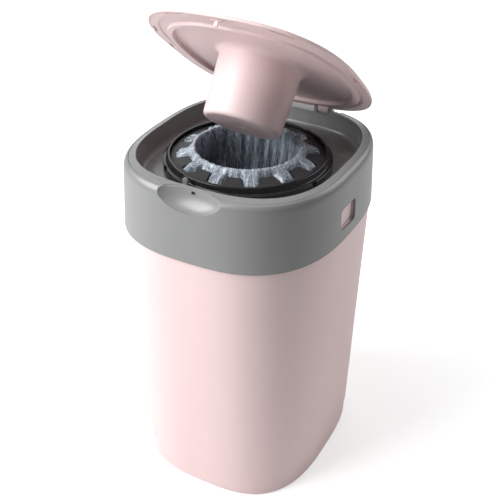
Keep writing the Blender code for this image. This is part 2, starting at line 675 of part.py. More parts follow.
def make_inner_tray():
    """The grey liner: lip, well, deck with its round hole, skirt and hinge ears."""
    deck_under = DECK_HEIGHT - DECK_THICKNESS
    foot = WELL_PLAN.grown(-WELL_DRAFT)
    outer_foot = foot.grown(TRAY_WALL)
    lip = RIM_PLAN.grown(-GAP)
    hole = NECK_RADIUS + RUNNING_GAP
    stations = [
        (lip, RIM_HEIGHT - TRAY_WALL),
        (lip, RIM_HEIGHT),
        (WELL_PLAN.grown(TRAY_WALL / 2), LIP_HEIGHT),
        (WELL_PLAN.grown(GAP), LIP_HEIGHT - GAP),
        (WELL_PLAN, LIP_HEIGHT - TRAY_WALL / 2),
        (foot, DECK_HEIGHT + WELL_FILLET),
        (foot.grown(-WELL_FILLET / 3), DECK_HEIGHT + WELL_FILLET / 3),
        (foot.grown(-WELL_FILLET), DECK_HEIGHT),
        (disc(hole), DECK_HEIGHT),
        (disc(hole), deck_under),
        (disc(SKIRT_RADIUS), deck_under),
        (disc(SKIRT_RADIUS), SKIRT_FOOT),
        (disc(SKIRT_RADIUS + SKIRT_WALL), SKIRT_FOOT),
        (disc(SKIRT_RADIUS + SKIRT_WALL), deck_under),
        (outer_foot.grown(-WELL_FILLET), deck_under),
        (outer_foot, DECK_HEIGHT + WELL_FILLET / 2),
        (WELL_PLAN.grown(TRAY_WALL * 2 / 3), RIM_HEIGHT - TRAY_WALL),
    ]
    tray = loft("inner_tray", stations, "grey_inside", tube=True)
    cut(tray, scoop("scoop", SCOOP_SKIN + GAP))
    join(tray, make_hinge_shelf())
    cut(tray, recess_box("recess", 0, RECESS_FLOOR))
    for side in (1, -1):
        for edge in (1, -1):
            join(tray, make_ear(side, edge))
        reach = KNUCKLE_WIDTH / 2 + EAR_GAP + EAR_WIDTH + OVERRUN
        cut(tray, rod("pin_hole", (side * HINGE_X - reach, HINGE_Y, HINGE_HEIGHT),
                      (side * HINGE_X + reach, HINGE_Y, HINGE_HEIGHT), PIN_RADIUS + GAP))
    for share in TICK_TURN_SHARES:
        join(tray, make_tick(share))
    return tray


def make_hinge_shelf():
    """The floor of the hinge recess, between the well and the collar."""
    low = RECESS_FLOOR - RECESS_WALL
    inside = loft("inside", [(plan.grown(-GAP), height) for plan, height in shoulder_stations(COLLAR_WALL)[::-1]])
    shelf = block("shelf", (-RECESS_HALF_WIDTH, WELL_DEPTH / 2 - WELL_DRAFT / 3, low),
                  (RECESS_HALF_WIDTH, COLLAR_DEPTH, RECESS_FLOOR + RECESS_WALL))
    return combine(shelf, inside, "INTERSECT")


def make_ear(side, edge):
    """One of the two ears that hold a hinge pin."""
    near = side * HINGE_X + edge * (KNUCKLE_WIDTH / 2 + EAR_GAP)
    xs = sorted((near, near + edge * EAR_WIDTH))
    ear = rod("ear", (xs[0], HINGE_Y, HINGE_HEIGHT), (xs[1], HINGE_Y, HINGE_HEIGHT), EAR_RADIUS)
    return join(ear, block("foot", (xs[0], HINGE_Y - EAR_RADIUS * 0.9, RECESS_FLOOR - RECESS_WALL / 2),
                           (xs[1], HINGE_Y + EAR_RADIUS * 0.9, HINGE_HEIGHT)))


def make_tick(share):
    """One raised position mark on the deck."""
    start = TICK_INNER_RADIUS
    tick = block("tick", (start, TURN_CENTRE_Y - TICK_WIDTH / 2, DECK_HEIGHT - TICK_RISE),
                 (start + TICK_LENGTH, TURN_CENTRE_Y + TICK_WIDTH / 2, DECK_HEIGHT + TICK_RISE))
    return turn_about(tick, (0, TURN_CENTRE_Y, 0), "Z", TURN * share)


def make_click_finger():
    """The springy finger on the deck that clicks along the turntable's rim."""
    inner_x = abs(FINGER_X) - FINGER_WIDTH / 2
    near = TURN_CENTRE_Y - math.sqrt((FLANGE_RADIUS + GAP) ** 2 - inner_x ** 2)
    far = near - FINGER_THICKNESS
    low = DECK_HEIGHT + GAP
    half = FINGER_WIDTH / 2
    shaft = FINGER_TOP - half
    finger = block("click_finger", (FINGER_X - half, far, low), (FINGER_X + half, near, shaft), "grey")
    join(finger, rod("head", (FINGER_X, far, shaft), (FINGER_X, near, shaft), half))
    return join(finger, block("foot", (FINGER_X - half, far - FINGER_FOOT_LENGTH + FINGER_THICKNESS, low),
                              (FINGER_X + half, near, low + FINGER_FOOT_HEIGHT)))


def make_turntable():
    """The black ring that turns the cassette, with grip notches in its wall."""
    under = DECK_HEIGHT + DECK_RUN
    ledge_top = TURN_FOOT + LEDGE_THICKNESS
    profile = [
        (NECK_RADIUS, under),
        (FLANGE_RADIUS, under),
        (FLANGE_RADIUS, FLANGE_HEIGHT - GAP),
        (FLANGE_RADIUS - GAP, FLANGE_HEIGHT),
        (BEAD_FOOT_RADIUS, FLANGE_HEIGHT + DECK_RUN),
        (BEAD_RADIUS + GAP, BEAD_HEIGHT - GAP),
        (BEAD_RADIUS, BEAD_HEIGHT),
        (CRADLE_RADIUS + GAP, BEAD_HEIGHT),
        (CRADLE_RADIUS, BEAD_HEIGHT - GAP),
        (CRADLE_RADIUS, ledge_top),
        (LEDGE_RADIUS, ledge_top),
        (LEDGE_RADIUS, TURN_FOOT),
        (CRADLE_RADIUS + TURN_WALL, TURN_FOOT),
        (CRADLE_RADIUS + TURN_WALL, NECK_FOOT),
        (NECK_RADIUS + RETAINER_BEAD, NECK_FOOT),
        (NECK_RADIUS + RETAINER_BEAD, NECK_FOOT + DECK_RUN),
        (NECK_RADIUS, NECK_FOOT + DECK_RUN + RETAINER_BEAD),
    ]
    ring = turned("turntable", profile, "black")
    for index in range(NOTCH_COUNT):
        notch = block("notch", (FLANGE_RADIUS - NOTCH_DEPTH, TURN_CENTRE_Y - NOTCH_WIDTH / 2,
                                FLANGE_HEIGHT - NOTCH_HEIGHT),
                      (FLANGE_RADIUS + OVERRUN, TURN_CENTRE_Y + NOTCH_WIDTH / 2, FLANGE_HEIGHT + OVERRUN))
        turn = NOTCH_FIRST_TURN_SHARE + index / NOTCH_COUNT
        cut(ring, turn_about(notch, (0, TURN_CENTRE_Y, 0), "Z", TURN * turn))
    return ring


def make_turntable_retainer():
    """The ring under the deck that keeps the turntable in its hole."""
    top = DECK_HEIGHT - DECK_THICKNESS - RUNNING_GAP
    inner = NECK_RADIUS + GAP
    low = top - RETAINER_THICKNESS
    return turned("turntable_retainer", [(inner, low), (RETAINER_RADIUS, low), (RETAINER_RADIUS, top), (inner, top)],
                  "charcoal")


def make_cassette_tray():
    """The film cassette's trough, with the throat tube in its middle."""
    outer = CRADLE_RADIUS - RUNNING_GAP
    floor = TURN_FOOT + LEDGE_THICKNESS + GAP
    tube = THROAT_RADIUS + CASSETTE_WALL
    profile = [
        (THROAT_RADIUS, floor),
        (outer, floor),
        (outer, CASSETTE_RIM),
        (outer - CASSETTE_WALL, CASSETTE_RIM),
        (outer - CASSETTE_WALL, floor + CASSETTE_WALL),
        (tube, floor + CASSETTE_WALL),
        (tube, THROAT_TOP - CASSETTE_WALL / 3),
        (tube - CASSETTE_WALL / 3, THROAT_TOP),
        (THROAT_RADIUS + CASSETTE_WALL / 3, THROAT_TOP),
        (THROAT_RADIUS, THROAT_TOP - CASSETTE_WALL / 3),
    ]
    return turned("cassette_tray", profile, "charcoal")


def make_cassette_cap():
    """The cap over the film, with tabs between the slots that the film comes out of."""
    outer = CRADLE_RADIUS - RUNNING_GAP
    inner = outer - CAP_RING_WIDTH
    low = CASSETTE_RIM + GAP
    edge = low + CAP_EDGE_RISE
    tip = edge + CAP_SLOPE
    profile = [
        (outer, low),
        (outer, edge - GAP),
        (outer - GAP, edge),
        (inner, edge + CAP_SLOPE / 4),
        (CAP_INNER_RADIUS + GAP, tip),
        (CAP_INNER_RADIUS, tip - GAP),
        (CAP_INNER_RADIUS, tip - CAP_THICKNESS),
        (inner, edge + CAP_SLOPE / 4 - CAP_THICKNESS),
        (outer - CAP_THICKNESS, low),
    ]
    cap = turned("cassette_cap", profile, "charcoal")
    for index in range(TAB_COUNT):
        cut(cap, make_film_slot(TAB_FIRST_TURN_SHARE + (index + 0.5) / TAB_COUNT, inner, tip))
    return cap


def make_film_slot(turn_share, outer, top):
    """The gap between two tabs, which widens towards the throat."""
    near = CAP_INNER_RADIUS - OVERRUN
    root = (1 / TAB_COUNT - TAB_ROOT_TURN_SHARE) / 2
    tip = (1 / TAB_COUNT - TAB_TIP_TURN_SHARE) / 2
    low = CASSETTE_RIM
    corners = ((near, -tip), (outer, -root), (outer, root), (near, tip))
    outline = [turntable_point(radius, turn_share + turn, low) for radius, turn in corners]
    return prism("film_slot", outline, Vector((0, 0, top + OVERRUN - low)))


def make_film_pack():
    """The pleated stock of film in the trough."""
    low = TURN_FOOT + LEDGE_THICKNESS + GAP + CASSETTE_WALL + GAP
    inner = THROAT_RADIUS + CASSETTE_WALL + PACK_CLEARANCE
    outer = CRADLE_RADIUS - RUNNING_GAP - CASSETTE_WALL - PACK_CLEARANCE
    top = CASSETTE_RIM - PACK_HEADROOM
    pleat = (top - low) / PLEAT_COUNT
    outside = []
    for index in range(PLEAT_COUNT):
        outside.append((outer - PLEAT_DEPTH, low + pleat * index))
        outside.append((outer, low + pleat * (index + 0.5)))
    outside.append((outer - PLEAT_DEPTH, top))
    inside = [(inner, top), (inner, low)]
    return turned("film_pack", outside + inside, "film", sides=FILM_SIDES)


def offset_path(path, distance):
    """Return a (radius, height) path moved to its right by a distance."""
    found = []
    for index, (radius, height) in enumerate(path):
        before = Vector(path[max(index - 1, 0)])
        after = Vector(path[min(index + 1, len(path) - 1)])
        along = (after - before).normalized()
        found.append((radius + along.y * distance, height - along.x * distance))
    return found


def sleeve_path():
    """Return the sleeve's open face, from the bag's foot over the throat to its hem."""
    tube = THROAT_RADIUS + CASSETTE_WALL
    hem = CASSETTE_RIM + GAP + SLEEVE_THICKNESS
    drop = THROAT_TOP - TWIST_HEIGHT
    bag = [(SLEEVE_THROAT_RADIUS * wide, TWIST_HEIGHT + drop * high) for wide, high in BAG_SHARES]
    over = [
        (SLEEVE_THROAT_RADIUS + SLEEVE_THICKNESS / 2, CREST_HEIGHT - SLEEVE_THICKNESS * 2),
        (CREST_RADIUS, CREST_HEIGHT),
        (tube + SLEEVE_THICKNESS, CREST_HEIGHT - SLEEVE_THICKNESS * 2),
        (tube + SLEEVE_THICKNESS * 2, THROAT_TOP),
        (tube + SLEEVE_THICKNESS * 3, (THROAT_TOP + hem) / 2),
        (CAP_INNER_RADIUS + CAP_THICKNESS, hem + SLEEVE_THICKNESS * 2),
        (SLEEVE_HEM_RADIUS, hem),
    ]
    return bag + over


def make_film_sleeve():
    """The sleeve of film: over the throat, down inside it, twisted and knotted."""
    face = sleeve_path()
    back = offset_path(face, SLEEVE_THICKNESS)[:1:-1]
    neck = [
        (TWIST_RADIUS, TWIST_HEIGHT),
        (TWIST_RADIUS * 0.8, KNOT_HEIGHT + KNOT_RADIUS),
        (KNOT_RADIUS * 0.9, KNOT_HEIGHT + KNOT_RADIUS * 0.4),
        (KNOT_RADIUS, KNOT_HEIGHT),
        (KNOT_RADIUS * 0.8, KNOT_HEIGHT - KNOT_RADIUS * 0.5),
        (TWIST_RADIUS * 0.6, KNOT_HEIGHT - KNOT_RADIUS),
        (TWIST_RADIUS * 1.1, TAIL_HEIGHT),
    ]
    return turned("film_sleeve", face + back + neck, "film", tube=False, sides=FILM_SIDES)


def make_gripper_ring():
    """The plate under the skirt that carries the film gripper."""
    top = SKIRT_FOOT - GAP
    outer = SKIRT_RADIUS + SKIRT_WALL
    low = top - GRIPPER_THICKNESS
    return turned("gripper_ring", [(GRIPPER_BORE, low), (outer, low), (outer, top), (GRIPPER_BORE, top)], "grey_inside")


def make_gripper_fingers():
    """The soft petals that hold the film's neck shut."""
    top = SKIRT_FOOT - GAP - GRIPPER_THICKNESS - GAP
    skin = PETAL_THICKNESS
    profile = [
        (FINGER_RING_RADIUS, top),
        (GRIPPER_BORE, top),
        (GRIPPER_BORE * 0.62, top - PETAL_DROP * 0.25),
        (PETAL_TIP_RADIUS, top - PETAL_DROP),
        (PETAL_TIP_RADIUS, top - PETAL_DROP - skin),
        (GRIPPER_BORE * 0.62, top - PETAL_DROP * 0.25 - skin),
        (GRIPPER_BORE, top - skin),
        (FINGER_RING_RADIUS, top - skin),
    ]
    fingers = turned("gripper_fingers", profile, "rubber")
    for index in range(PETAL_COUNT):
        slit = block("slit", (PETAL_TIP_RADIUS - OVERRUN, TURN_CENTRE_Y - PETAL_SLIT / 2, top - PETAL_DROP - skin * 2),
                     (GRIPPER_BORE, TURN_CENTRE_Y + PETAL_SLIT / 2, top + OVERRUN))
        cut(fingers, turn_about(slit, (0, TURN_CENTRE_Y, 0), "Z", TURN * index / PETAL_COUNT))
    return fingers


def place_cutter(item):
    """Turn a cutter piece to its place under the gripper plate."""
    return turn_about(item, (0, TURN_CENTRE_Y, 0), "Z", TURN * CUTTER_TURN_SHARE)


def make_cutter_housing():
    """The slotted block that guides film onto the cutter's blade."""
    top = SKIRT_FOOT - GAP * 2 - GRIPPER_THICKNESS
    half_width, half_length = CUTTER_WIDTH / 2, CUTTER_LENGTH / 2
    housing = block("cutter_housing", (CUTTER_RADIUS - half_width, TURN_CENTRE_Y - half_length, top - CUTTER_HEIGHT),
                    (CUTTER_RADIUS + half_width, TURN_CENTRE_Y + half_length, top), "charcoal")
    slot = block("slot", (CUTTER_RADIUS - CUTTER_SLOT / 2, TURN_CENTRE_Y - half_length - OVERRUN,
                          top - CUTTER_HEIGHT - OVERRUN),
                 (CUTTER_RADIUS + CUTTER_SLOT / 2, TURN_CENTRE_Y + half_length + OVERRUN,
                  top - CUTTER_SLOT))
    return place_cutter(cut(housing, slot))


def make_cutter_blade():
    """The steel blade at the root of the cutter's slot."""
    top = SKIRT_FOOT - GAP * 3 - GRIPPER_THICKNESS - CUTTER_SLOT
    half_length = CUTTER_LENGTH / 2 - OVERRUN
    blade = block("cutter_blade", (CUTTER_RADIUS - BLADE_THICKNESS / 2, TURN_CENTRE_Y - half_length,
                                   top - BLADE_HEIGHT),
                  (CUTTER_RADIUS + BLADE_THICKNESS / 2, TURN_CENTRE_Y + half_length, top), "steel")
    return place_cutter(blade)


def dome_stations(plan, foot, rise):
    """Return the dome's outlines from its edge to its crown."""
    return [(plan.scaled(share), foot + rise * lift) for share, lift in DOME_SHARES]


def hinge_gap_cutter(side):
    """Make the rod that clears the lid round a hinge's ears and knuckle."""
    reach = KNUCKLE_WIDTH / 2 + EAR_GAP * 2 + EAR_WIDTH
    return rod("clear", (side * HINGE_X - reach, HINGE_Y, HINGE_HEIGHT), (side * HINGE_X + reach, HINGE_Y, HINGE_HEIGHT),
               KNUCKLE_RADIUS + EAR_GAP)


def make_lid_shell():
    """The domed outer shell of the lid."""
    inner = LID_PLAN.grown(-LID_WALL)
    foot = LID_HEIGHT + LID_EDGE
    outside = [(LID_PLAN.grown(-LID_EDGE_ROUND / 2), LID_HEIGHT), (LID_PLAN, LID_HEIGHT + LID_EDGE_ROUND / 2),
               (LID_PLAN, foot - LID_EDGE_ROUND)]
    outside += dome_stations(LID_PLAN, foot, DOME_RISE)
    inside = dome_stations(inner, foot - LID_WALL, DOME_RISE)[::-1]
    return loft("lid_shell", inside + [(inner, foot - LID_WALL), (inner, LID_HEIGHT)] + outside, "pink")


def make_lid_panel():
    """The lid's inner panel, drawn down into the plunger cup, with its rib and knuckles."""
    base = LID_HEIGHT
    cup_foot = base - CUP_LENGTH
    rib_in = RIB_PLAN.grown(-RIB_THICKNESS)
    step = LID_PLAN.grown(-SKIRT_STEP_INSET)
    edge = LID_PLAN.grown(-LID_WALL - GAP)
    under = [
        (disc(CUP_TIP_RADIUS - CUP_EDGE), cup_foot),
        (disc(CUP_TIP_RADIUS - CUP_EDGE / 3), cup_foot + CUP_EDGE / 4),
        (disc(CUP_TIP_RADIUS), cup_foot + CUP_EDGE),
    ]
    under += flare(0)
    under += [
        (rib_in.grown(-RIB_DROP), base + PANEL_RISE),
        (rib_in, base - RIB_DROP),
        (RIB_PLAN, base - RIB_DROP),
        (RIB_PLAN.grown(RIB_DROP / 3), base + SKIRT_STEP),
        (step, base + SKIRT_STEP),
        (step.grown(SKIRT_STEP), base),
        (edge, base),
    ]
    over = [
        (edge, base + LID_WALL),
        (step, base + SKIRT_STEP + LID_WALL),
        (rib_in.grown(-RIB_DROP - LID_WALL), base + PANEL_RISE + LID_WALL),
    ]
    over += flare(LID_WALL)[::-1]
    over += [
        (disc(CUP_TIP_RADIUS - LID_WALL), cup_foot + CUP_EDGE + LID_WALL),
        (disc(CUP_TIP_RADIUS - CUP_EDGE - LID_WALL / 2), cup_foot + LID_WALL),
    ]
    return loft("lid_panel", under + over, "pink_inside")


def flare(skin):
    """Return the cup's side and the trumpet that spreads from it, on one face of the wall."""
    top = LID_HEIGHT + PANEL_RISE
    stations = [(disc(CUP_ROOT_RADIUS - skin), top - CUP_FLARE_DROP - CUP_EDGE)]
    spread = CUP_FLARE_RADIUS - CUP_ROOT_RADIUS
    for index in range(1, FLARE_STEPS + 1):
        angle = TURN / 4 * index / FLARE_STEPS
        radius = CUP_FLARE_RADIUS - spread * math.cos(angle) - skin * math.cos(angle)
        height = top - CUP_FLARE_DROP * (1 - math.sin(angle)) + skin * math.sin(angle)
        stations.append((disc(radius), height))
    return stations


def add_hinge(shell, panel):
    """Notch the lid round the ears and give the panel its two knuckles."""
    for side in (1, -1):
        middle = side * HINGE_X
        half = KNUCKLE_WIDTH / 2
        cut(shell, hinge_gap_cutter(side))
        cut(panel, hinge_gap_cutter(side))
        knuckle = rod("knuckle", (middle - half, HINGE_Y, HINGE_HEIGHT), (middle + half, HINGE_Y, HINGE_HEIGHT),
                      KNUCKLE_RADIUS)
        join(knuckle, block("web", (middle - half, HINGE_Y - WEB_REACH, LID_HEIGHT + GAP),
                            (middle + half, HINGE_Y, LID_HEIGHT + LID_WALL - GAP)))
        join(panel, knuckle)
        reach = half + OVERRUN
        cut(panel, rod("pin_hole", (middle - reach, HINGE_Y, HINGE_HEIGHT), (middle + reach, HINGE_Y, HINGE_HEIGHT),
                       PIN_RADIUS + GAP))


def make_hinge_pin(side, name):
    """A steel pin through a knuckle and its two ears."""
    reach = KNUCKLE_WIDTH / 2 + EAR_GAP + EAR_WIDTH
    return rod(name, (side * HINGE_X - reach, HINGE_Y, HINGE_HEIGHT), (side * HINGE_X + reach, HINGE_Y, HINGE_HEIGHT),
               PIN_RADIUS, "steel")


def make_lid_catch():
    """The clip at the lid's front whose nose meets the latch hole."""
    wall = scoop_wall_y() - GAP
    nose_low = RIM_HEIGHT - LATCH_HOLE_DROP - (LATCH_HOLE_HEIGHT + CATCH_NOSE_HEIGHT) / 2
    stem = (wall - CATCH_NOSE - CATCH_THICKNESS, wall - CATCH_NOSE)
    half = CATCH_WIDTH / 2
    top = LID_HEIGHT - GAP
    catch = block("lid_catch", (-half, stem[0], nose_low), (half, stem[1], top), "pink_inside")
    join(catch, block("nose", (-half, stem[0], nose_low), (half, wall, nose_low + CATCH_NOSE_HEIGHT)))
    return join(catch, block("base", (-CATCH_BASE_WIDTH / 2, stem[0] - CATCH_THICKNESS, top - CATCH_BASE_THICKNESS),
                             (CATCH_BASE_WIDTH / 2, stem[1], top)))


def axis_empty(name, place):
    """Add an empty on a joint's axis."""
    made = bpy.data.objects.new(name, None)
    made.location = place
    bpy.context.scene.collection.objects.link(made)
    return made


def hang(parent, children):
    """Hang pieces on an empty without moving them."""
    for child in children:
        child.parent = parent
        child.matrix_parent_inverse = Matrix.Translation(-parent.location)


def build():
    """Make the whole bin, at rest with its lid part open."""
    clear_scene()
    make_tub()
    for side, word in ((1, "right"), (-1, "left")):
        button = make_release_button(side, f"release_button_{word}")
        slide = axis_empty(f"button_axis_{word}", (side * button_seat_x(), WINDOW_Y, SEAM_HEIGHT + WINDOW_RISE))
        hang(slide, [button])
        make_hinge_pin(side, f"hinge_pin_{word}")
    make_collar()
    make_inner_tray()
    make_click_finger()
    make_gripper_ring()
    make_gripper_fingers()
    make_cutter_housing()
    make_cutter_blade()
    spindle = axis_empty("turntable_axis", (0, TURN_CENTRE_Y, DECK_HEIGHT))
    hang(spindle, [make_turntable(), make_turntable_retainer(), make_cassette_tray(), make_cassette_cap(),
                   make_film_pack(), make_film_sleeve()])
    shell, panel = make_lid_shell(), make_lid_panel()
    add_hinge(shell, panel)
    hinge = axis_empty("lid_hinge_axis", (0, HINGE_Y, HINGE_HEIGHT))
    hang(hinge, [shell, panel, make_lid_catch()])
    hinge.rotation_euler = (-LID_OPEN, 0, 0)
    bpy.context.view_layer.update()


build()
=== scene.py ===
"""Looks of a nappy bin: moulded shells, a glossy turntable and crinkled film.

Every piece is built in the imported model's frame, in metres. Front is -Y and up is +Z.
The lid is modelled closed and then turned to the angle at which it rests.
"""

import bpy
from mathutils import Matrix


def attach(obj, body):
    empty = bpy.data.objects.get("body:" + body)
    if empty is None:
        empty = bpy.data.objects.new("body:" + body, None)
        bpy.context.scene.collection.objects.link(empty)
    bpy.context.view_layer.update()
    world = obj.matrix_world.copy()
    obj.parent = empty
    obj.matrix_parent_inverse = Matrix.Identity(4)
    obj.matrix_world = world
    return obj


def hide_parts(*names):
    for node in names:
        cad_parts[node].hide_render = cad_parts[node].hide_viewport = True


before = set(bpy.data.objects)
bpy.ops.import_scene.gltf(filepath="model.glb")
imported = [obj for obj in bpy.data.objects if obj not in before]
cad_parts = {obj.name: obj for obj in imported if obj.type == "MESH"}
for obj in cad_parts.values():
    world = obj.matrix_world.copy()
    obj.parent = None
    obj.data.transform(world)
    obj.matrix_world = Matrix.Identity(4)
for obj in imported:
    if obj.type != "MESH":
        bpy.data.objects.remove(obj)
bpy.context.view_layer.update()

import logging
import math
from collections.abc import Sequence
from dataclasses import dataclass, field, replace
from enum import Enum

import bmesh
import bpy
from mathutils import Matrix, Vector, noise

logging.basicConfig(level=logging.INFO, format="%(message)s")
LOG = logging.getLogger("nappy_bin")

MM = 0.001
TURN = math.tau

Point = Sequence[float]
Colour = tuple[float, float, float]
Ring = Sequence[bmesh.types.BMVert]
Socket = bpy.types.NodeSocket

# How finely outlines, rods and cuts are divided
SIDES = 160
FINE_SIDES = 240
ROD_SIDES = 32
MERGE_DISTANCE = 0.0005 * MM
SHARP_ANGLE = math.radians(32)
CREASE_ANGLE = math.radians(28)

# Clearances shared with the solids
GAP = 0.3 * MM
RUNNING_GAP = 0.4 * MM
OVERRUN = 1.0 * MM

UP = Vector((0, 0, 1))

# Corners of a box that holds the whole bin
EVERYWHERE = ((-1, -1, 0), (1, 1, 1))


class Body(Enum):
    """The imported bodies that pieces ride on."""

    BASE = "base"
    LEFT_BUTTON = "left_button"
    RIGHT_BUTTON = "right_button"
    HEAD = "head"
    ROTOR = "rotor"
    LID = "lid"


class Side(Enum):
    """The two mirrored sides of the bin, as signs of X."""

    LEFT = -1
    RIGHT = 1


@dataclass(frozen=True)
class Plan:
    """An outline seen from above, from an ellipse to a rounded box."""

    half_width: float
    half_depth: float
    exponent: float = 2.0
    centre_y: float = 0.0

    def grown(self, amount: float) -> "Plan":
        """Return the outline moved outwards all round."""
        return replace(self, half_width=self.half_width + amount, half_depth=self.half_depth + amount)

    def scaled(self, share: float) -> "Plan":
        """Return the outline drawn in towards its centre."""
        return replace(self, half_width=self.half_width * share, half_depth=self.half_depth * share)

    def toward(self, other: "Plan", share: float) -> "Plan":
        """Blend two outlines.

        Args:
            other: The outline at a share of 1.
            share: How far along the blend lies.

        Returns:
            The outline in between.
        """
        def mix(start: float, end: float) -> float:
            """Return the number in between."""
            return start + (end - start) * share
        return Plan(mix(self.half_width, other.half_width), mix(self.half_depth, other.half_depth),
                    mix(self.exponent, other.exponent), mix(self.centre_y, other.centre_y))

    def point(self, angle: float, height: float) -> Vector:
        """Find the outline's point in a direction.

        Args:
            angle: Direction from the centre, in radians from +X.
            height: Height of the outline.

        Returns:
            The point in the model's frame.
        """
        across = abs(math.cos(angle) / self.half_width) ** self.exponent
        along = abs(math.sin(angle) / self.half_depth) ** self.exponent
        reach = (across + along) ** (-1 / self.exponent)
        return Vector((reach * math.cos(angle), self.centre_y + reach * math.sin(angle), height))


@dataclass(frozen=True)
class Station:
    """One outline of a loft, at a height, with the rounding of its edge."""

    plan: Plan
    height: float
    rounding: float = 0.0


def round_edges(mesh: bmesh.types.BMesh, edges: Sequence[bmesh.types.BMEdge], width: float, segments: int = 3,
                clamp: bool = True) -> None:
    """Bevel edges into a round.

    Args:
        mesh: The mesh that holds the edges.
        edges: The edges.
        width: Width of the rounded edge.
        segments: Steps across the round.
        clamp: Stop the round where it would meet another.
    """
    bmesh.ops.bevel(mesh, geom=edges, offset=width, segments=segments, profile=0.5, affect="EDGES",
                    material=-1, clamp_overlap=clamp)


class Form:
    """A mesh that is shaped with bmesh operators."""

    def __init__(self) -> None:
        """Start with an empty mesh."""
        self.mesh = bmesh.new()

    def ring_of(self, verts: Ring) -> list[bmesh.types.BMEdge]:
        """Return the edges that join the vertices in a closed ring."""
        return [self.mesh.edges.get((verts[i - 1], verts[i])) for i in range(len(verts))]

    def start_ring(self, points: Sequence[Vector]) -> list[bmesh.types.BMVert]:
        """Start with a circle whose vertices are moved to the points.

        Args:
            points: Where the vertices go.

        Returns:
            The vertices in order.
        """
        verts = bmesh.ops.create_circle(self.mesh, segments=len(points), radius=1.0)["verts"]
        for vert, point in zip(verts, points):
            vert.co = point
        return verts

    def next_ring(self, ring: Ring, points: Sequence[Vector]) -> list[bmesh.types.BMVert]:
        """Extrude a ring to new places.

        Args:
            ring: The ring's vertices in order.
            points: Where their copies go.

        Returns:
            The new ring's vertices in the same order.
        """
        grown = bmesh.ops.extrude_edge_only(self.mesh, edges=self.ring_of(ring))["geom"]
        fresh = {item for item in grown if isinstance(item, bmesh.types.BMVert)}
        found = []
        for vert, point in zip(ring, points):
            twin = next(edge.other_vert(vert) for edge in vert.link_edges if edge.other_vert(vert) in fresh)
            twin.co = point
            found.append(twin)
        return found

    def skin(self, rows: Sequence[Sequence[Vector]], tube: bool = False,
             roundings: Sequence[float] = (), capped: bool = True) -> "Form":
        """Skin closed rows of points.

        Args:
            rows: Rows of points, one ring each.
            tube: Join the last row to the first.
            roundings: Radius of the rounded edge along each row.
            capped: Close both ends of an open skin.

        Returns:
            The form itself.
        """
        rings = [self.start_ring(rows[0])]
        for points in rows[1:]:
            rings.append(self.next_ring(rings[-1], points))
        if tube:
            last = self.next_ring(rings[-1], rows[0])
            bmesh.ops.weld_verts(self.mesh, targetmap=dict(zip(last, rings[0])))
        elif capped:
            for ring in (rings[0], rings[-1]):
                bmesh.ops.contextual_create(self.mesh, geom=self.ring_of(ring))
        bmesh.ops.recalc_face_normals(self.mesh, faces=self.mesh.faces)
        for ring, rounding in zip(rings, roundings):
            if rounding > 0:
                round_edges(self.mesh, self.ring_of(ring), rounding, 4, clamp=False)
        return self

    def loft(self, stations: Sequence[Station], tube: bool = False, sides: int = SIDES) -> "Form":
        """Skin outlines at heights, with their edges rounded.

        Args:
            stations: The outlines in order.
            tube: Join the last outline to the first.
            sides: How many points each outline has.

        Returns:
            The form itself.
        """
        angles = [TURN * step / sides for step in range(sides)]
        rows = [[station.plan.point(angle, station.height) for angle in angles] for station in stations]
        return self.skin(rows, tube, [station.rounding for station in stations])

    def box(self, low: Point, high: Point, rounding: float = 0.0) -> "Form":
        """Add a box between two corners.

        Args:
            low: Its lowest corner.
            high: Its highest corner.
            rounding: Width of its rounded edges.

        Returns:
            The form itself.
        """
        low, high = Vector(low), Vector(high)
        place = Matrix.Translation((low + high) / 2) @ Matrix.Diagonal((*(high - low), 1.0))
        made = bmesh.ops.create_cube(self.mesh, size=1.0, matrix=place)["verts"]
        if rounding:
            round_edges(self.mesh, list({edge for vert in made for edge in vert.link_edges}), rounding)
        return self

    def rod(self, start: Point, end: Point, radius: float, rounding: float = 0.0) -> "Form":
        """Add a round rod between two points.

        Args:
            start: The middle of its first end.
            end: The middle of its other end.
            radius: Its radius.
            rounding: Width of the rounded edge of its ends.

        Returns:
            The form itself.
        """
        start, end = Vector(start), Vector(end)
        run = end - start
        place = Matrix.Translation((start + end) / 2) @ UP.rotation_difference(run).to_matrix().to_4x4()
        made = bmesh.ops.create_cone(self.mesh, cap_ends=True, segments=ROD_SIDES, radius1=radius,
                                     radius2=radius, depth=run.length, matrix=place)["verts"]
        if rounding:
            ends = {face for vert in made for face in vert.link_faces if len(face.verts) > 4}
            round_edges(self.mesh, list({edge for face in ends for edge in face.edges}), rounding)
        return self

    def prism(self, outline: Sequence[Vector], run: Vector) -> "Form":
        """Add a flat outline extruded along a run.

        Args:
            outline: The outline's points in order.
            run: How far and which way it is extruded.

        Returns:
            The form itself.
        """
        verts = self.start_ring(outline)
        face = bmesh.ops.contextual_create(self.mesh, geom=self.ring_of(verts))["faces"]
        grown = bmesh.ops.extrude_face_region(self.mesh, geom=face)["geom"]
        moved = [item for item in grown if isinstance(item, bmesh.types.BMVert)]
        bmesh.ops.translate(self.mesh, verts=moved, vec=run)
        bmesh.ops.recalc_face_normals(self.mesh, faces=self.mesh.faces)
        return self

    def ellipsoid(self, centre: Point, half_sizes: Point) -> "Form":
        """Add an ellipsoid.

        Args:
            centre: Its middle.
            half_sizes: Its half sizes along X, Y and Z.

        Returns:
            The form itself.
        """
        place = Matrix.Translation(centre) @ Matrix.Diagonal((*half_sizes, 1.0))
        bmesh.ops.create_uvsphere(self.mesh, u_segments=72, v_segments=48, radius=1.0, matrix=place)
        return self

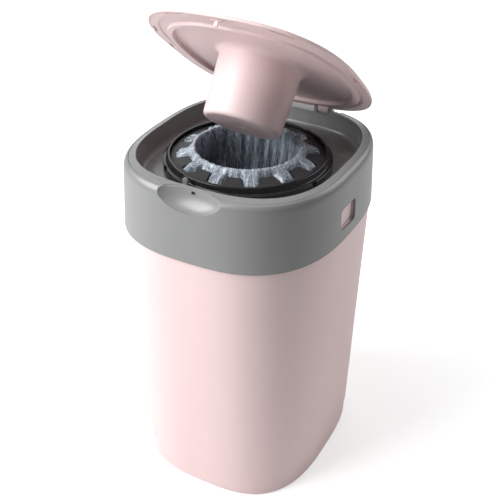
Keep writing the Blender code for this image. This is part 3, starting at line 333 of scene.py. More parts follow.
    def turned(self, angle: float, centre: Point) -> "Form":
        """Turn the whole form about an upright line.

        Args:
            angle: How far, in radians.
            centre: A point of the line.

        Returns:
            The form itself.
        """
        bmesh.ops.rotate(self.mesh, verts=self.mesh.verts, cent=Vector(centre),
                         matrix=Matrix.Rotation(angle, 3, "Z"))
        return self

    def into_object(self, name: str) -> bpy.types.Object:
        """Turn the form into an object with clean, outward faces.

        Args:
            name: The object's name.

        Returns:
            The object. The form is used up.
        """
        bmesh.ops.remove_doubles(self.mesh, verts=self.mesh.verts, dist=MERGE_DISTANCE)
        bmesh.ops.recalc_face_normals(self.mesh, faces=self.mesh.faces)
        data = bpy.data.meshes.new(name)
        self.mesh.to_mesh(data)
        self.mesh.free()
        made = bpy.data.objects.new(name, data)
        bpy.context.scene.collection.objects.link(made)
        return made


class Cut(Enum):
    """How one shape works on another."""

    REMOVE = "DIFFERENCE"
    FUSE = "UNION"
    KEEP_COMMON = "INTERSECT"


def combine(target: bpy.types.Object, tools: Sequence[bpy.types.Object], how: Cut) -> bpy.types.Object:
    """Work shapes on a target one after another and remove them.

    Args:
        target: The object that changes.
        tools: The shapes, which are used up.
        how: What each shape does.

    Returns:
        The target.
    """
    for tool in tools:
        step = target.modifiers.new("combine", "BOOLEAN")
        step.operation = how.value
        step.solver = "EXACT"
        step.object = tool
        state = bpy.context.evaluated_depsgraph_get()
        result = bpy.data.meshes.new_from_object(target.evaluated_get(state))
        target.modifiers.clear()
        old = target.data
        target.data = result
        bpy.data.meshes.remove(old)
        bpy.data.objects.remove(tool, do_unlink=True)
    return target


def soften(target: bpy.types.Object, width: float, low: Point = EVERYWHERE[0], high: Point = EVERYWHERE[1],
           segments: int = 3) -> bpy.types.Object:
    """Round the creases of a target inside a box.

    Args:
        target: The object whose edges are rounded.
        width: Width of the rounded edge.
        low: Lowest corner of the box.
        high: Highest corner of the box.
        segments: Steps across the rounding.

    Returns:
        The target.
    """
    form = bmesh.new()
    form.from_mesh(target.data)
    inside = [vert for vert in form.verts if all(a <= c <= b for a, c, b in zip(low, vert.co, high))]
    bmesh.ops.remove_doubles(form, verts=inside, dist=width / 4)
    bmesh.ops.dissolve_degenerate(form, edges=form.edges, dist=width / 8)
    creases = [edge for edge in form.edges
               if len(edge.link_faces) == 2 and edge.calc_face_angle(0) > CREASE_ANGLE
               and all(a <= c <= b for vert in edge.verts for a, c, b in zip(low, vert.co, high))]
    round_edges(form, creases, width, segments)
    bmesh.ops.remove_doubles(form, verts=form.verts, dist=MERGE_DISTANCE)
    form.to_mesh(target.data)
    form.free()
    return target


def smooth(target: bpy.types.Object) -> bpy.types.Object:
    """Shade a target smoothly, with flat faces kept flat and creases sharp.

    Args:
        target: The object.

    Returns:
        The same object.
    """
    target.data.shade_smooth()
    target.data.set_sharp_from_angle(angle=SHARP_ANGLE)
    weighting = target.modifiers.new("flat faces stay flat", "WEIGHTED_NORMAL")
    weighting.keep_sharp = True
    return target


class Number:
    """A shader socket that takes part in Python arithmetic."""

    def __init__(self, recipe: "Recipe", socket: Socket) -> None:
        """Wrap a socket of a recipe's node."""
        self.recipe = recipe
        self.socket = socket

    def _with(self, operation: str, first: "Number | float", second: "Number | float") -> "Number":
        """Return a Math node's result for two operands."""
        made = self.recipe.node("ShaderNodeMath", {"operation": operation}, {0: first, 1: second})
        return Number(self.recipe, made.outputs["Value"])

    def __add__(self, other: "Number | float") -> "Number":
        """Return the sum."""
        return self._with("ADD", self, other)

    def __radd__(self, other: float) -> "Number":
        """Return the sum with a plain number first."""
        return self._with("ADD", other, self)

    def __sub__(self, other: "Number | float") -> "Number":
        """Return the difference."""
        return self._with("SUBTRACT", self, other)

    def __rsub__(self, other: float) -> "Number":
        """Return a plain number less this one."""
        return self._with("SUBTRACT", other, self)

    def __mul__(self, other: "Number | float") -> "Number":
        """Return the product."""
        return self._with("MULTIPLY", self, other)

    def __rmul__(self, other: float) -> "Number":
        """Return the product with a plain number first."""
        return self._with("MULTIPLY", other, self)


# A Mix node's colour inputs and output, which share their names with its other kinds
MIX_FIRST, MIX_SECOND, MIX_COLOUR = 6, 7, 2


class Recipe:
    """One material's node tree, built node by node."""

    def __init__(self, name: str) -> None:
        """Start a material with its shader and the place on the piece.

        Args:
            name: The material's name.
        """
        self.material = bpy.data.materials.new(name)
        self.material.use_nodes = True
        self.tree = self.material.node_tree
        self.shader = self.tree.nodes["Principled BSDF"]
        self.place = self.node("ShaderNodeTexCoord").outputs["Object"]

    def feed(self, socket: Socket, value: object) -> None:
        """Link or set one input of a node.

        Args:
            socket: The input.
            value: A number in the making, a socket, or a plain value.
        """
        if isinstance(value, Number):
            value = value.socket
        if isinstance(value, Socket):
            self.tree.links.new(value, socket)
        else:
            socket.default_value = value

    def node(self, kind: str, settings: dict[str, object] | None = None,
             inputs: dict[int | str, object] | None = None) -> bpy.types.Node:
        """Add a node.

        Args:
            kind: The node's type.
            settings: Its properties, set first; "stops" holds a ramp's places and colours.
            inputs: Values or links for its sockets.

        Returns:
            The node.
        """
        made = self.tree.nodes.new(kind)
        for key, value in (settings or {}).items():
            if key == "stops":
                for element, (position, colour) in zip(self._stops(made, len(value)), value):
                    element.position = position
                    element.color = colour
            else:
                setattr(made, key, value)
        for key, value in (inputs or {}).items():
            self.feed(made.inputs[key], value)
        return made

    @staticmethod
    def _stops(ramp: bpy.types.Node, count: int) -> Sequence[bpy.types.ColorRampElement]:
        """Give a colour ramp the number of stops it needs.

        Args:
            ramp: The ramp's node.
            count: How many stops.

        Returns:
            The stops.
        """
        while len(ramp.color_ramp.elements) < count:
            ramp.color_ramp.elements.new(0.5)
        return ramp.color_ramp.elements

    def stretched(self, scale: tuple[float, float, float]) -> Socket:
        """Return the place on the piece, scaled along each axis."""
        return self.node("ShaderNodeMapping", {}, {"Vector": self.place, "Scale": scale}).outputs["Vector"]

    def speckle(self, scale: float, detail: float = 2.0, roughness: float = 0.5,
                place: Socket | None = None) -> Number:
        """Add noise.

        Args:
            scale: Cycles per metre.
            detail: Finer layers of the noise.
            roughness: How strong the finer layers are.
            place: Where it is read, if not at the place on the piece.

        Returns:
            A value from 0 to 1.
        """
        made = self.node("ShaderNodeTexNoise", {}, {"Vector": place or self.place, "Scale": scale,
                                                    "Detail": detail, "Roughness": roughness})
        return Number(self, made.outputs["Fac"])

    def ramp(self, value: Number, low: float, high: float) -> Number:
        """Spread a value and clamp it.

        Args:
            value: The value.
            low: Where the result is 0.
            high: Where the result is 1.

        Returns:
            A value from 0 to 1.
        """
        made = self.node("ShaderNodeMapRange", {"clamp": True},
                         {"Value": value, "From Min": low, "From Max": high})
        return Number(self, made.outputs["Result"])

    def blend(self, share: Number, first: Colour, second: Colour) -> Socket:
        """Mix two colours.

        Args:
            share: 0 for the first colour, 1 for the second.
            first: The first colour.
            second: The second colour.

        Returns:
            The colour in between.
        """
        made = self.node("ShaderNodeMix", {"data_type": "RGBA"},
                         {"Factor": share, MIX_FIRST: (*first, 1.0), MIX_SECOND: (*second, 1.0)})
        return made.outputs[MIX_COLOUR]

    def bump(self, height: Number, distance: float, strength: float = 1.0) -> Socket:
        """Bump the surface.

        Args:
            height: How high each place stands, in shares of the distance.
            distance: The height in metres of a share of 1.
            strength: How much of the bump shows.

        Returns:
            The bumped normal.
        """
        made = self.node("ShaderNodeBump", {}, {"Height": height, "Distance": distance, "Strength": strength})
        return made.outputs["Normal"]

    def finish(self, **sockets: object) -> bpy.types.Material:
        """Set the shader's sockets.

        Args:
            sockets: Values or links by name, with spaces written as underscores.

        Returns:
            The material.
        """
        for key, value in sockets.items():
            self.feed(self.shader.inputs[key.replace("_", " ")], value)
        return self.material


@dataclass(frozen=True)
class MouldedPlastic:
    """Injection-moulded plastic with a fine spark-eroded grain and faint flow marks."""

    name: str
    colour: Colour
    roughness: float = 0.42
    mottle: float = 0.03
    grain: float = 0.012 * MM
    grain_scale: float = 2600.0
    specular: float = 0.5
    flow_scale: float = 9.0
    handled_scale: float = 38.0

    def material(self) -> bpy.types.Material:
        """Make the finish.

        Returns:
            The finish as a material.
        """
        recipe = Recipe(self.name)
        flow = recipe.speckle(self.flow_scale, 3.0, 0.55, recipe.stretched((1.0, 1.0, 0.35)))
        handled = recipe.speckle(self.handled_scale, 4.0, 0.6)
        grain = recipe.speckle(self.grain_scale, 2.0, 0.5)
        dark = tuple(c * (1 - self.mottle) for c in self.colour)
        light = tuple(min(1.0, c * (1 + self.mottle)) for c in self.colour)
        colour = recipe.blend(recipe.ramp(flow * 0.7 + handled * 0.3, 0.3, 0.7), dark, light)
        roughness = self.roughness + (handled - 0.5) * 0.10 + (grain - 0.5) * 0.05
        return recipe.finish(Base_Color=colour, Roughness=roughness, Normal=recipe.bump(grain, self.grain),
                             Specular_IOR_Level=self.specular)


@dataclass(frozen=True)
class GlossPlastic:
    """Polished black plastic with fine circular wipe marks."""

    name: str = "gloss_black_plastic"
    colour: Colour = (0.012, 0.012, 0.013)
    dust_colour: Colour = (0.10, 0.10, 0.105)
    roughness: float = 0.08

    def material(self) -> bpy.types.Material:
        """Make the finish.

        Returns:
            The finish as a material.
        """
        recipe = Recipe(self.name)
        marks = recipe.speckle(420.0, 3.0, 0.6, recipe.stretched((1.0, 1.0, 0.2)))
        smears = recipe.speckle(26.0, 4.0, 0.6)
        dust = recipe.ramp(recipe.speckle(1500.0, 1.0, 0.4), 0.69, 0.75)
        colour = recipe.blend(dust * 0.5, self.colour, self.dust_colour)
        roughness = self.roughness + smears * 0.06 + marks * 0.04
        return recipe.finish(Base_Color=colour, Roughness=roughness, Normal=recipe.bump(smears, 0.05 * MM),
                             Specular_IOR_Level=0.55)


@dataclass(frozen=True)
class ThinFilm:
    """Gathered translucent polythene, milky along its folds and clear between them."""

    name: str = "gathered_film"
    milky: Colour = (0.76, 0.84, 0.93)
    clear: Colour = (0.46, 0.54, 0.63)
    clear_alpha: float = 0.10
    milky_alpha: float = 0.86
    crest: tuple[float, float] = (385 * MM, 392.5 * MM)
    wrinkled: tuple[float, float] = (372 * MM, 386 * MM)
    axis: tuple[float, float, float] = (0.0, -7.3 * MM, 0.0)

    def streaks(self, recipe: Recipe, across: float, along: float, detail: float) -> Number:
        """Return noise that is drawn out along the film's path.

        Args:
            recipe: The material that the nodes join.
            across: Cycles in one radian round the throat.
            along: Cycles in a metre of height.
            detail: Finer layers of the noise.

        Returns:
            A value from 0 to 1.
        """
        def step(operation: str, inputs: dict[int | str, object]) -> Socket:
            """Return a Vector Math node's result."""
            return recipe.node("ShaderNodeVectorMath", {"operation": operation}, inputs).outputs["Vector"]
        centred = step("SUBTRACT", {0: recipe.place, 1: self.axis})
        outward = step("NORMALIZE", {0: step("MULTIPLY", {0: centred, 1: (1.0, 1.0, 0.0)})})
        rise = step("MULTIPLY", {0: centred, 1: (0.0, 0.0, along)})
        place = step("ADD", {0: step("SCALE", {0: outward, "Scale": across}), 1: rise})
        return recipe.speckle(1.0, detail, 0.6, place)

    def material(self) -> bpy.types.Material:
        """Make the finish.

        Returns:
            The finish as a material.
        """
        recipe = Recipe(self.name)
        fine = self.streaks(recipe, 26.0, 34.0, 4.0)
        broad = self.streaks(recipe, 5.0, 16.0, 3.0)
        creases = recipe.speckle(150.0, 3.0, 0.55)
        split = recipe.node("ShaderNodeSeparateXYZ", {}, {"Vector": recipe.place})
        height = Number(recipe, split.outputs["Z"])
        crest = recipe.ramp(height, *self.crest)
        lines = 1 - recipe.ramp(abs_from(fine), 0.0, 0.05)
        wrinkles = (1 - recipe.ramp(abs_from(creases), 0.0, 0.035)) * recipe.ramp(height, *self.wrinkled)
        cloud = recipe.ramp(broad, 0.44, 0.68)
        share = recipe.ramp(lines * 0.42 + wrinkles * 0.4 + cloud * 0.34 + crest * 0.16, 0.0, 1.0)
        colour = recipe.blend(share, self.clear, self.milky)
        alpha = self.clear_alpha + share * (self.milky_alpha - self.clear_alpha)
        return recipe.finish(Base_Color=colour, Alpha=alpha, Roughness=0.18 + fine * 0.14,
                             Normal=recipe.bump(fine * 0.6 + creases * 0.4, 1.0 * MM, 0.8),
                             Specular_IOR_Level=0.7)


def abs_from(value: Number, middle: float = 0.5) -> Number:
    """Measure how far a value lies from its middle.

    Args:
        value: The value.
        middle: Its middle.

    Returns:
        The distance, never below 0.
    """
    made = value.recipe.node("ShaderNodeMath", {"operation": "ABSOLUTE"}, {0: value - middle})
    return Number(value.recipe, made.outputs["Value"])


@dataclass(frozen=True)
class SoftRubber:
    """Matt rubber with a dusty bloom."""

    name: str = "soft_rubber"
    colour: Colour = (0.05, 0.05, 0.052)
    bloom_share: float = 1.7

    def material(self) -> bpy.types.Material:
        """Make the finish.

        Returns:
            The finish as a material.
        """
        recipe = Recipe(self.name)
        bloom = recipe.speckle(60.0, 4.0, 0.6)
        bloomed = tuple(c * self.bloom_share for c in self.colour)
        colour = recipe.blend(recipe.ramp(bloom, 0.35, 0.7), self.colour, bloomed)
        return recipe.finish(Base_Color=colour, Roughness=0.72 + bloom * 0.1,
                             Normal=recipe.bump(recipe.speckle(1800.0), 0.03 * MM))


@dataclass(frozen=True)
class BrushedSteel:
    """Steel with fine marks along one axis."""

    name: str = "brushed_steel"
    colour: Colour = (0.60, 0.60, 0.61)
    dark_share: float = 0.85

    def material(self) -> bpy.types.Material:
        """Make the finish.

        Returns:
            The finish as a material.
        """
        recipe = Recipe(self.name)
        brush = recipe.speckle(900.0, 3.0, 0.6, recipe.stretched((0.06, 1.0, 1.0)))
        colour = recipe.blend(brush, tuple(c * self.dark_share for c in self.colour), self.colour)
        return recipe.finish(Base_Color=colour, Metallic=1.0, Roughness=0.22 + brush * 0.15,
                             Normal=recipe.bump(brush, 0.01 * MM))


@dataclass
class Finishes:
    """Every finish of the bin, made once."""

    pink: bpy.types.Material = field(init=False)
    pink_inside: bpy.types.Material = field(init=False)
    grey: bpy.types.Material = field(init=False)
    liner: bpy.types.Material = field(init=False)
    black: bpy.types.Material = field(init=False)
    charcoal: bpy.types.Material = field(init=False)
    film: bpy.types.Material = field(init=False)
    rubber: bpy.types.Material = field(init=False)
    steel: bpy.types.Material = field(init=False)

    def __post_init__(self) -> None:
        """Make the materials."""
        self.pink = MouldedPlastic("pink_plastic", colour=(0.885, 0.690, 0.685), roughness=0.46,
                                   mottle=0.012, specular=0.4).material()
        self.pink_inside = MouldedPlastic("pink_lining_plastic", colour=(0.86, 0.665, 0.665), roughness=0.38,
                                          mottle=0.015).material()
        self.grey = MouldedPlastic("grey_plastic", colour=(0.260, 0.263, 0.263), roughness=0.34,
                                   mottle=0.02, specular=0.7).material()
        self.liner = MouldedPlastic("grey_liner_plastic", colour=(0.27, 0.275, 0.275),
                                    roughness=0.26).material()
        self.black = GlossPlastic().material()
        self.charcoal = MouldedPlastic("charcoal_plastic", colour=(0.030, 0.031, 0.033), roughness=0.46,
                                       mottle=0.06, grain=0.03 * MM, grain_scale=1400.0).material()
        self.film = ThinFilm().material()
        self.rubber = SoftRubber().material()
        self.steel = BrushedSteel().material()


@dataclass(frozen=True)
class Casing:
    """Outlines and heights that the tub, the head and the lid share."""

    base: Plan = Plan(107.2 * MM, 126.0 * MM, 2.95)
    collar: Plan = Plan(121.3 * MM, 137.0 * MM, 2.74)
    shoulder: Plan = Plan(120.0 * MM, 130.9 * MM, 2.74)
    rim: Plan = Plan(114.0 * MM, 122.8 * MM, 2.93)
    well: Plan = Plan(107.5 * MM, 114.1 * MM, 2.93)
    lid: Plan = Plan(110.3 * MM, 124.05 * MM, 2.76, -1.55 * MM)
    seam: float = 319.0 * MM
    shoulder_height: float = 380.0 * MM
    rim_height: float = 391.6 * MM
    lip_height: float = 393.4 * MM
    deck: float = 370.0 * MM
    lid_height: float = 393.8 * MM
    neck_height: float = 364.0 * MM
    wall: float = 2.4 * MM
    window_y: float = -13.7 * MM
    window_z: float = 344.3 * MM
    window_length: float = 35.0 * MM
    window_height: float = 25.4 * MM
    window_corner: float = 6.0 * MM
    recess_half_width: float = 52.0 * MM
    recess_floor: float = 388.3 * MM
    hinge_y: float = 118.5 * MM
    hinge_z: float = 393.5 * MM
    hinge_x: float = 31.5 * MM
    knuckle_width: float = 13.0 * MM
    knuckle_radius: float = 4.5 * MM
    pin_radius: float = 2.0 * MM
    ear_width: float = 3.5 * MM
    ear_gap: float = 1.0 * MM
    lid_open: float = math.radians(39.0)
    past_side: float = 130 * MM
    past_back: float = 140 * MM
    recess_front: float = 111.9 * MM
    recess_top: float = 400 * MM
    scoop_centre: tuple[float, float, float] = (0, -133.1 * MM, 393.8 * MM)
    scoop_half_sizes: tuple[float, float, float] = (40 * MM, 16 * MM, 22 * MM)
    corner_steps: int = 8

    def side(self, height: float) -> Plan:
        """Return the collar's outline at a height below its shoulder."""
        return self.collar.toward(self.shoulder, (height - self.seam) / (self.shoulder_height - self.seam))

    def neck(self, height: float) -> Plan:
        """Return the outline of the tub's neck inside the collar."""
        return self.side(height).grown(-self.wall - RUNNING_GAP)

    def shoulder_stations(self, skin: float, steps: int) -> list[Station]:
        """Describe the rounded shoulder.

        Args:
            skin: How far inside the outer face the surface lies.
            steps: Steps round the bend.

        Returns:
            Stations from the rim down.
        """
        side, top = self.shoulder.grown(-skin), self.rim_height - skin
        found = []
        for step in range(steps + 1):
            angle = TURN / 4 * step / steps
            height = self.shoulder_height + (top - self.shoulder_height) * math.cos(angle)
            found.append(Station(self.rim.toward(side, math.sin(angle)), height))
        return found

    def window(self, side: Side, inner: float, outer: float, grow: float) -> Form:
        """Extrude the window's rounded outline.

        Args:
            side: Which side of the bin.
            inner: Distance from the middle at which the prism starts.
            outer: Distance from the middle at which it ends.
            grow: How far the outline is moved outwards.

        Returns:
            The prism.
        """
        corner = self.window_corner + grow
        half_length, half_height = self.window_length / 2 + grow, self.window_height / 2 + grow
        outline = []
        for quarter, (side_y, side_z) in enumerate(((1, 1), (-1, 1), (-1, -1), (1, -1))):
            middle_y = self.window_y + side_y * (half_length - corner)
            middle_z = self.window_z + side_z * (half_height - corner)
            for step in range(self.corner_steps + 1):
                angle = TURN / 4 * (quarter + step / self.corner_steps)
                outline.append(Vector((side.value * inner, middle_y + corner * math.cos(angle),
                                       middle_z + corner * math.sin(angle))))
        return Form().prism(outline, Vector((side.value * (outer - inner), 0, 0)))

    def scoop(self, grow: float) -> Form:
        """Return the ellipsoid that dishes the front for a thumb."""
        return Form().ellipsoid(self.scoop_centre, [half + grow for half in self.scoop_half_sizes])

    def recess(self, grow: float) -> Form:
        """Return the box that clears the lid's back edge.

        Args:
            grow: How much wider it is on each side.

        Returns:
            The box.
        """
        half = self.recess_half_width + grow
        return Form().box((-half, self.recess_front, self.recess_floor),
                          (half, self.past_back, self.recess_top))

    def hinge_rod(self, side: Side, half_length: float, radius: float, rounding: float = 0.0) -> Form:
        """Return a rod on the hinge's line, centred on one knuckle.

        Args:
            side: Which knuckle.
            half_length: Half the rod's length.
            radius: The rod's radius.
            rounding: Width of the rounded edge of its ends.

        Returns:
            The rod.
        """
        middle = side.value * self.hinge_x
        return Form().rod((middle - half_length, self.hinge_y, self.hinge_z),
                          (middle + half_length, self.hinge_y, self.hinge_z), radius, rounding)


class Assembly:
    """What every sub-assembly shares: finishes, and how a piece joins the frame."""

    def __init__(self, casing: Casing, finishes: Finishes) -> None:
        """Keep the shared outlines and finishes."""
        self.casing = casing
        self.finishes = finishes

    def dress(self, piece: bpy.types.Object, body: Body, material: bpy.types.Material,
              stands_for: Sequence[str] = ()) -> bpy.types.Object:
        """Give a piece its material and its place in the frame.

        Args:
            piece: The finished object.
            body: The body it rides on.
            material: Its finish.
            stands_for: The CAD nodes that it replaces.

        Returns:
            The piece.
        """
        piece.data.materials.clear()
        piece.data.materials.append(material)
        piece.data.polygons.foreach_set("material_index", [0] * len(piece.data.polygons))
        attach(piece, body.value)
        if stands_for:
            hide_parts(*stands_for)
        LOG.info("%s: %d faces on %s", piece.name, len(piece.data.polygons), body.value)
        return piece


@dataclass
class Tub:
    """The pink tub with its neck, button windows and cradles."""

    casing: Casing
    finishes: Finishes
    floor: float = 4.0 * MM
    plinth_height: float = 24.0 * MM
    plinth_step: float = 0.9 * MM
    reveal: float = 2.0 * MM
    flange: float = 3.0 * MM
    body_depth: float = 9.0 * MM
    travel: float = 3.0 * MM
    cradle_wall: float = 2.0 * MM
    seat: float = 113.8 * MM
    foot_round: float = 2.6 * MM
    step_round: float = 0.25 * MM
    lip_round: float = 0.8 * MM
    ledge_depth: float = 8 * MM
    ledge_round: float = 3 * MM
    floor_round: float = 8 * MM
    button_sink: float = 1.2 * MM
    button_clearance: float = 1.6 * MM
    flange_thickness: float = 2 * MM
    button_round: float = 0.7 * MM

    def build(self) -> None:
        """Build the tub and its two buttons."""
        shop = Assembly(self.casing, self.finishes)
        shop.dress(self.shell(), Body.BASE, self.finishes.pink, ["tub"])
        for side, body in ((Side.LEFT, Body.LEFT_BUTTON), (Side.RIGHT, Body.RIGHT_BUTTON)):
            word = side.name.lower()
            button = self.button(side, word)
            shop.dress(button, body, self.finishes.pink, [f"release_button_{word}"])

    def shell(self) -> bpy.types.Object:
        """Make the tub's shell: up the outside, over the neck and down the inside.

        Returns:
            The finished object.
        """
        c = self.casing
        top = c.collar.grown(-self.reveal)
        plinth = c.base.toward(top, self.plinth_height / c.seam)
        ledge = c.seam - GAP
        neck_foot, neck_top = c.neck(c.seam), c.neck(c.neck_height)
        inside = neck_foot.grown(-c.wall)
        stations = [
            Station(c.base.grown(-self.plinth_step), 0, self.foot_round),
            Station(plinth.grown(-self.plinth_step), self.plinth_height, self.step_round),
            Station(plinth, self.plinth_height + self.plinth_step, self.step_round),
            Station(top, ledge, self.lip_round),
            Station(neck_foot, ledge),
            Station(neck_top, c.neck_height, self.lip_round),
            Station(neck_top.grown(-c.wall), c.neck_height, self.lip_round),
            Station(inside, c.seam),
            Station(inside, c.seam - self.ledge_depth, self.ledge_round),
            Station(c.base.grown(-c.wall - self.plinth_step), self.floor, self.floor_round),
        ]
        shell = Form().loft(stations).into_object("tub_shell")
        for side in Side:
            combine(shell, [self.cradle(side)], Cut.FUSE)
            hole = c.window(side, self.seat, c.past_side, -RUNNING_GAP).into_object("hole")
            combine(shell, [hole], Cut.REMOVE)
        return smooth(shell)

    def cradle(self, side: Side) -> bpy.types.Object:
        """Return the channel that guides a button.

        Args:
            side: Which side of the bin.

        Returns:
            The channel, open outwards.
        """
        room = self.flange + RUNNING_GAP
        back = self.seat - self.body_depth - self.travel - RUNNING_GAP
        front = self.seat + GAP + self.casing.wall / 2
        outer = self.channel(side, back - self.cradle_wall, front, room + self.cradle_wall)
        inner = self.channel(side, back, self.casing.past_side, room)
        return combine(outer.into_object("cradle"), [inner.into_object("room")], Cut.REMOVE)

    def channel(self, side: Side, inner: float, outer: float, room: float) -> Form:
        """Return a box behind a window.

        Args:
            side: Which side of the bin.
            inner: Distance from the middle at which the box starts.
            outer: Distance from the middle at which it ends.
            room: How far it reaches past the window all round.

        Returns:
            The box.
        """
        c = self.casing
        xs = sorted((side.value * inner, side.value * outer))
        half_length, half_height = c.window_length / 2 + room, c.window_height / 2 + room
        return Form().box((xs[0], c.window_y - half_length, c.window_z - half_height),
                          (xs[1], c.window_y + half_length, c.window_z + half_height))

    def button(self, side: Side, word: str) -> bpy.types.Object:
        """Return a push button with its flange.

        Args:
            side: Which side of the bin.
            word: The side's name.

        Returns:
            The button.
        """
        c = self.casing
        face = c.neck(c.window_z).half_width - self.button_sink
        stem = c.window(side, self.seat - self.body_depth, face, -self.button_clearance)
        flange = c.window(side, self.seat - self.flange_thickness, self.seat, self.flange)
        button = stem.into_object(f"push_button_{word}")
        combine(button, [flange.into_object("flange")], Cut.FUSE)
        return smooth(soften(button, self.button_round))


@dataclass
class Head:
    """The grey collar and liner that lift off the tub."""

    casing: Casing
    finishes: Finishes
    turn_y: float = -7.3 * MM
    hole_radius: float = 86.9 * MM
    tray_wall: float = 2.2 * MM
    draft: float = 2.5 * MM
    fillet: float = 5.0 * MM
    deck_thickness: float = 2.4 * MM
    skirt_radius: float = 93.0 * MM
    skirt_foot: float = 312.0 * MM
    scoop_skin: float = 1.7 * MM
    ear_radius: float = 4.2 * MM
    foot_round: float = 0.5 * MM
    rim_round: float = 0.35 * MM
    skirt_thickness: float = 2.4 * MM
    dish_round: float = 0.7 * MM
    dish_corners: tuple[Point, Point] = ((-0.06, -0.14, 0.365), (0.06, -0.10, 0.40))
    latch_hole: tuple[Point, Point] = (
        (-2.3 * MM, -118.8 * MM, 386.6 * MM), (2.3 * MM, -114.4 * MM, 389.8 * MM))
    window_start: float = 80 * MM
    window_round: float = 0.6 * MM
    window_corners: tuple[Point, Point] = ((0.110, -0.035, 0.328), (0.130, 0.008, 0.360))
    shelf_front: float = 113.3 * MM
    shelf_half_thickness: float = 2 * MM
    tick_angles: tuple[float, ...] = (149, 177, 205, 335, 3, 31)
    tick_run: tuple[float, float] = (97 * MM, 104.5 * MM)
    tick_half_width: float = 0.5 * MM
    tick_heights: tuple[float, float] = (-0.6 * MM, 0.5 * MM)
    finger_x: float = -22.0 * MM
    finger_face: float = -96.0 * MM
    finger_thickness: float = 2.6 * MM
    finger_half_width: float = 3.0 * MM
    finger_top: float = 387.2 * MM
    finger_foot: tuple[float, float] = (8 * MM, 2 * MM)

    def build(self) -> None:
        """Build the collar, the liner and the click finger."""
        shop = Assembly(self.casing, self.finishes)
        shop.dress(self.collar(), Body.HEAD, self.finishes.grey, ["collar"])
        shop.dress(self.liner(), Body.HEAD, self.finishes.liner, ["inner_tray"])
        shop.dress(self.finger(), Body.HEAD, self.finishes.grey, ["click_finger"])

    def collar(self) -> bpy.types.Object:
        """Make the outer shell with its scoop, windows and latch hole.

        Returns:
            The finished object.
        """
        c = self.casing
        outer = [Station(c.collar, c.seam, self.foot_round)] + c.shoulder_stations(0, 12)[::-1]
        inner = c.shoulder_stations(c.wall, 6) + [Station(c.collar.grown(-c.wall), c.seam, self.foot_round)]
        outer[-1] = replace(outer[-1], rounding=self.rim_round)
        collar = Form().loft(outer + inner, tube=True, sides=FINE_SIDES).into_object("collar_shell")
        bury = c.wall / 2
        skirt = [Station(c.collar.grown(-bury), c.seam)] + c.shoulder_stations(bury, 6)[:0:-1]
        cover = [Station(c.rim.grown(bury / 2), c.rim_height - bury),
                 Station(c.well.grown(self.scoop_skin), c.lip_height)]
        envelope = Form().loft(skirt + cover).into_object("envelope")
        dish = combine(c.scoop(self.scoop_skin).into_object("dish"), [envelope], Cut.KEEP_COMMON)
        combine(collar, [dish], Cut.FUSE)
        combine(collar, [c.scoop(0).into_object("scoop")], Cut.REMOVE)
        soften(collar, self.dish_round, *self.dish_corners)
        combine(collar, [Form().box(*self.latch_hole).into_object("latch_hole")], Cut.REMOVE)
        low, high = self.window_corners
        for side in Side:
            window = c.window(side, self.window_start, c.past_side, 0).into_object("window")
            combine(collar, [window], Cut.REMOVE)
            near, far = sorted((side.value * low[0], side.value * high[0]))
            soften(collar, self.window_round, (near, *low[1:]), (far, *high[1:]))
        combine(collar, [c.recess(GAP).into_object("recess")], Cut.REMOVE)
        return smooth(collar)

    def liner(self) -> bpy.types.Object:
        """Make the liner: lip, well, deck with its hole, skirt and hinge ears.

        Returns:
            The finished object.
        """
        c = self.casing
        under = c.deck - self.deck_thickness
        foot = c.well.grown(-self.draft)
        outer_foot = foot.grown(self.tray_wall)
        lip = c.rim.grown(-GAP)
        hole = Plan(self.hole_radius, self.hole_radius, 2.0, self.turn_y)
        skirt = replace(hole, half_width=self.skirt_radius, half_depth=self.skirt_radius)
        stations = [
            Station(lip, c.rim_height - self.tray_wall),
            Station(lip, c.rim_height, 0.3 * MM),
            Station(c.well.grown(self.tray_wall / 2), c.lip_height, 0.5 * MM),
            Station(c.well, c.lip_height - 0.2 * MM, 0.5 * MM),
            Station(c.well.grown(-0.5 * MM), c.rim_height - 3.5 * MM, 0.3 * MM),
            Station(foot, c.deck, self.fillet),
            Station(hole, c.deck, 0.5 * MM),
            Station(hole, under, 0.3 * MM),
            Station(skirt, under),
            Station(skirt, self.skirt_foot),
            Station(skirt.grown(self.skirt_thickness), self.skirt_foot),
            Station(skirt.grown(self.skirt_thickness), under),
            Station(outer_foot.grown(-self.fillet), under),
            Station(outer_foot, c.deck + self.fillet / 2),
            Station(c.well.grown(self.tray_wall * 2 / 3), c.rim_height - self.tray_wall),
        ]
        liner = Form().loft(stations, tube=True, sides=FINE_SIDES).into_object("liner_tray")
        combine(liner, [c.scoop(self.scoop_skin + GAP).into_object("scoop")], Cut.REMOVE)
        combine(liner, [self.shelf()], Cut.FUSE)
        combine(liner, [c.recess(0).into_object("recess")], Cut.REMOVE)
        combine(liner, [self.ear(side, edge) for side in Side for edge in (1, -1)], Cut.FUSE)
        reach = c.knuckle_width / 2 + c.ear_gap + c.ear_width + OVERRUN
        for side in Side:
            hole = c.hinge_rod(side, reach, c.pin_radius + GAP).into_object("pin_hole")
            combine(liner, [hole], Cut.REMOVE)
        combine(liner, [self.ticks()], Cut.FUSE)
        return smooth(liner)

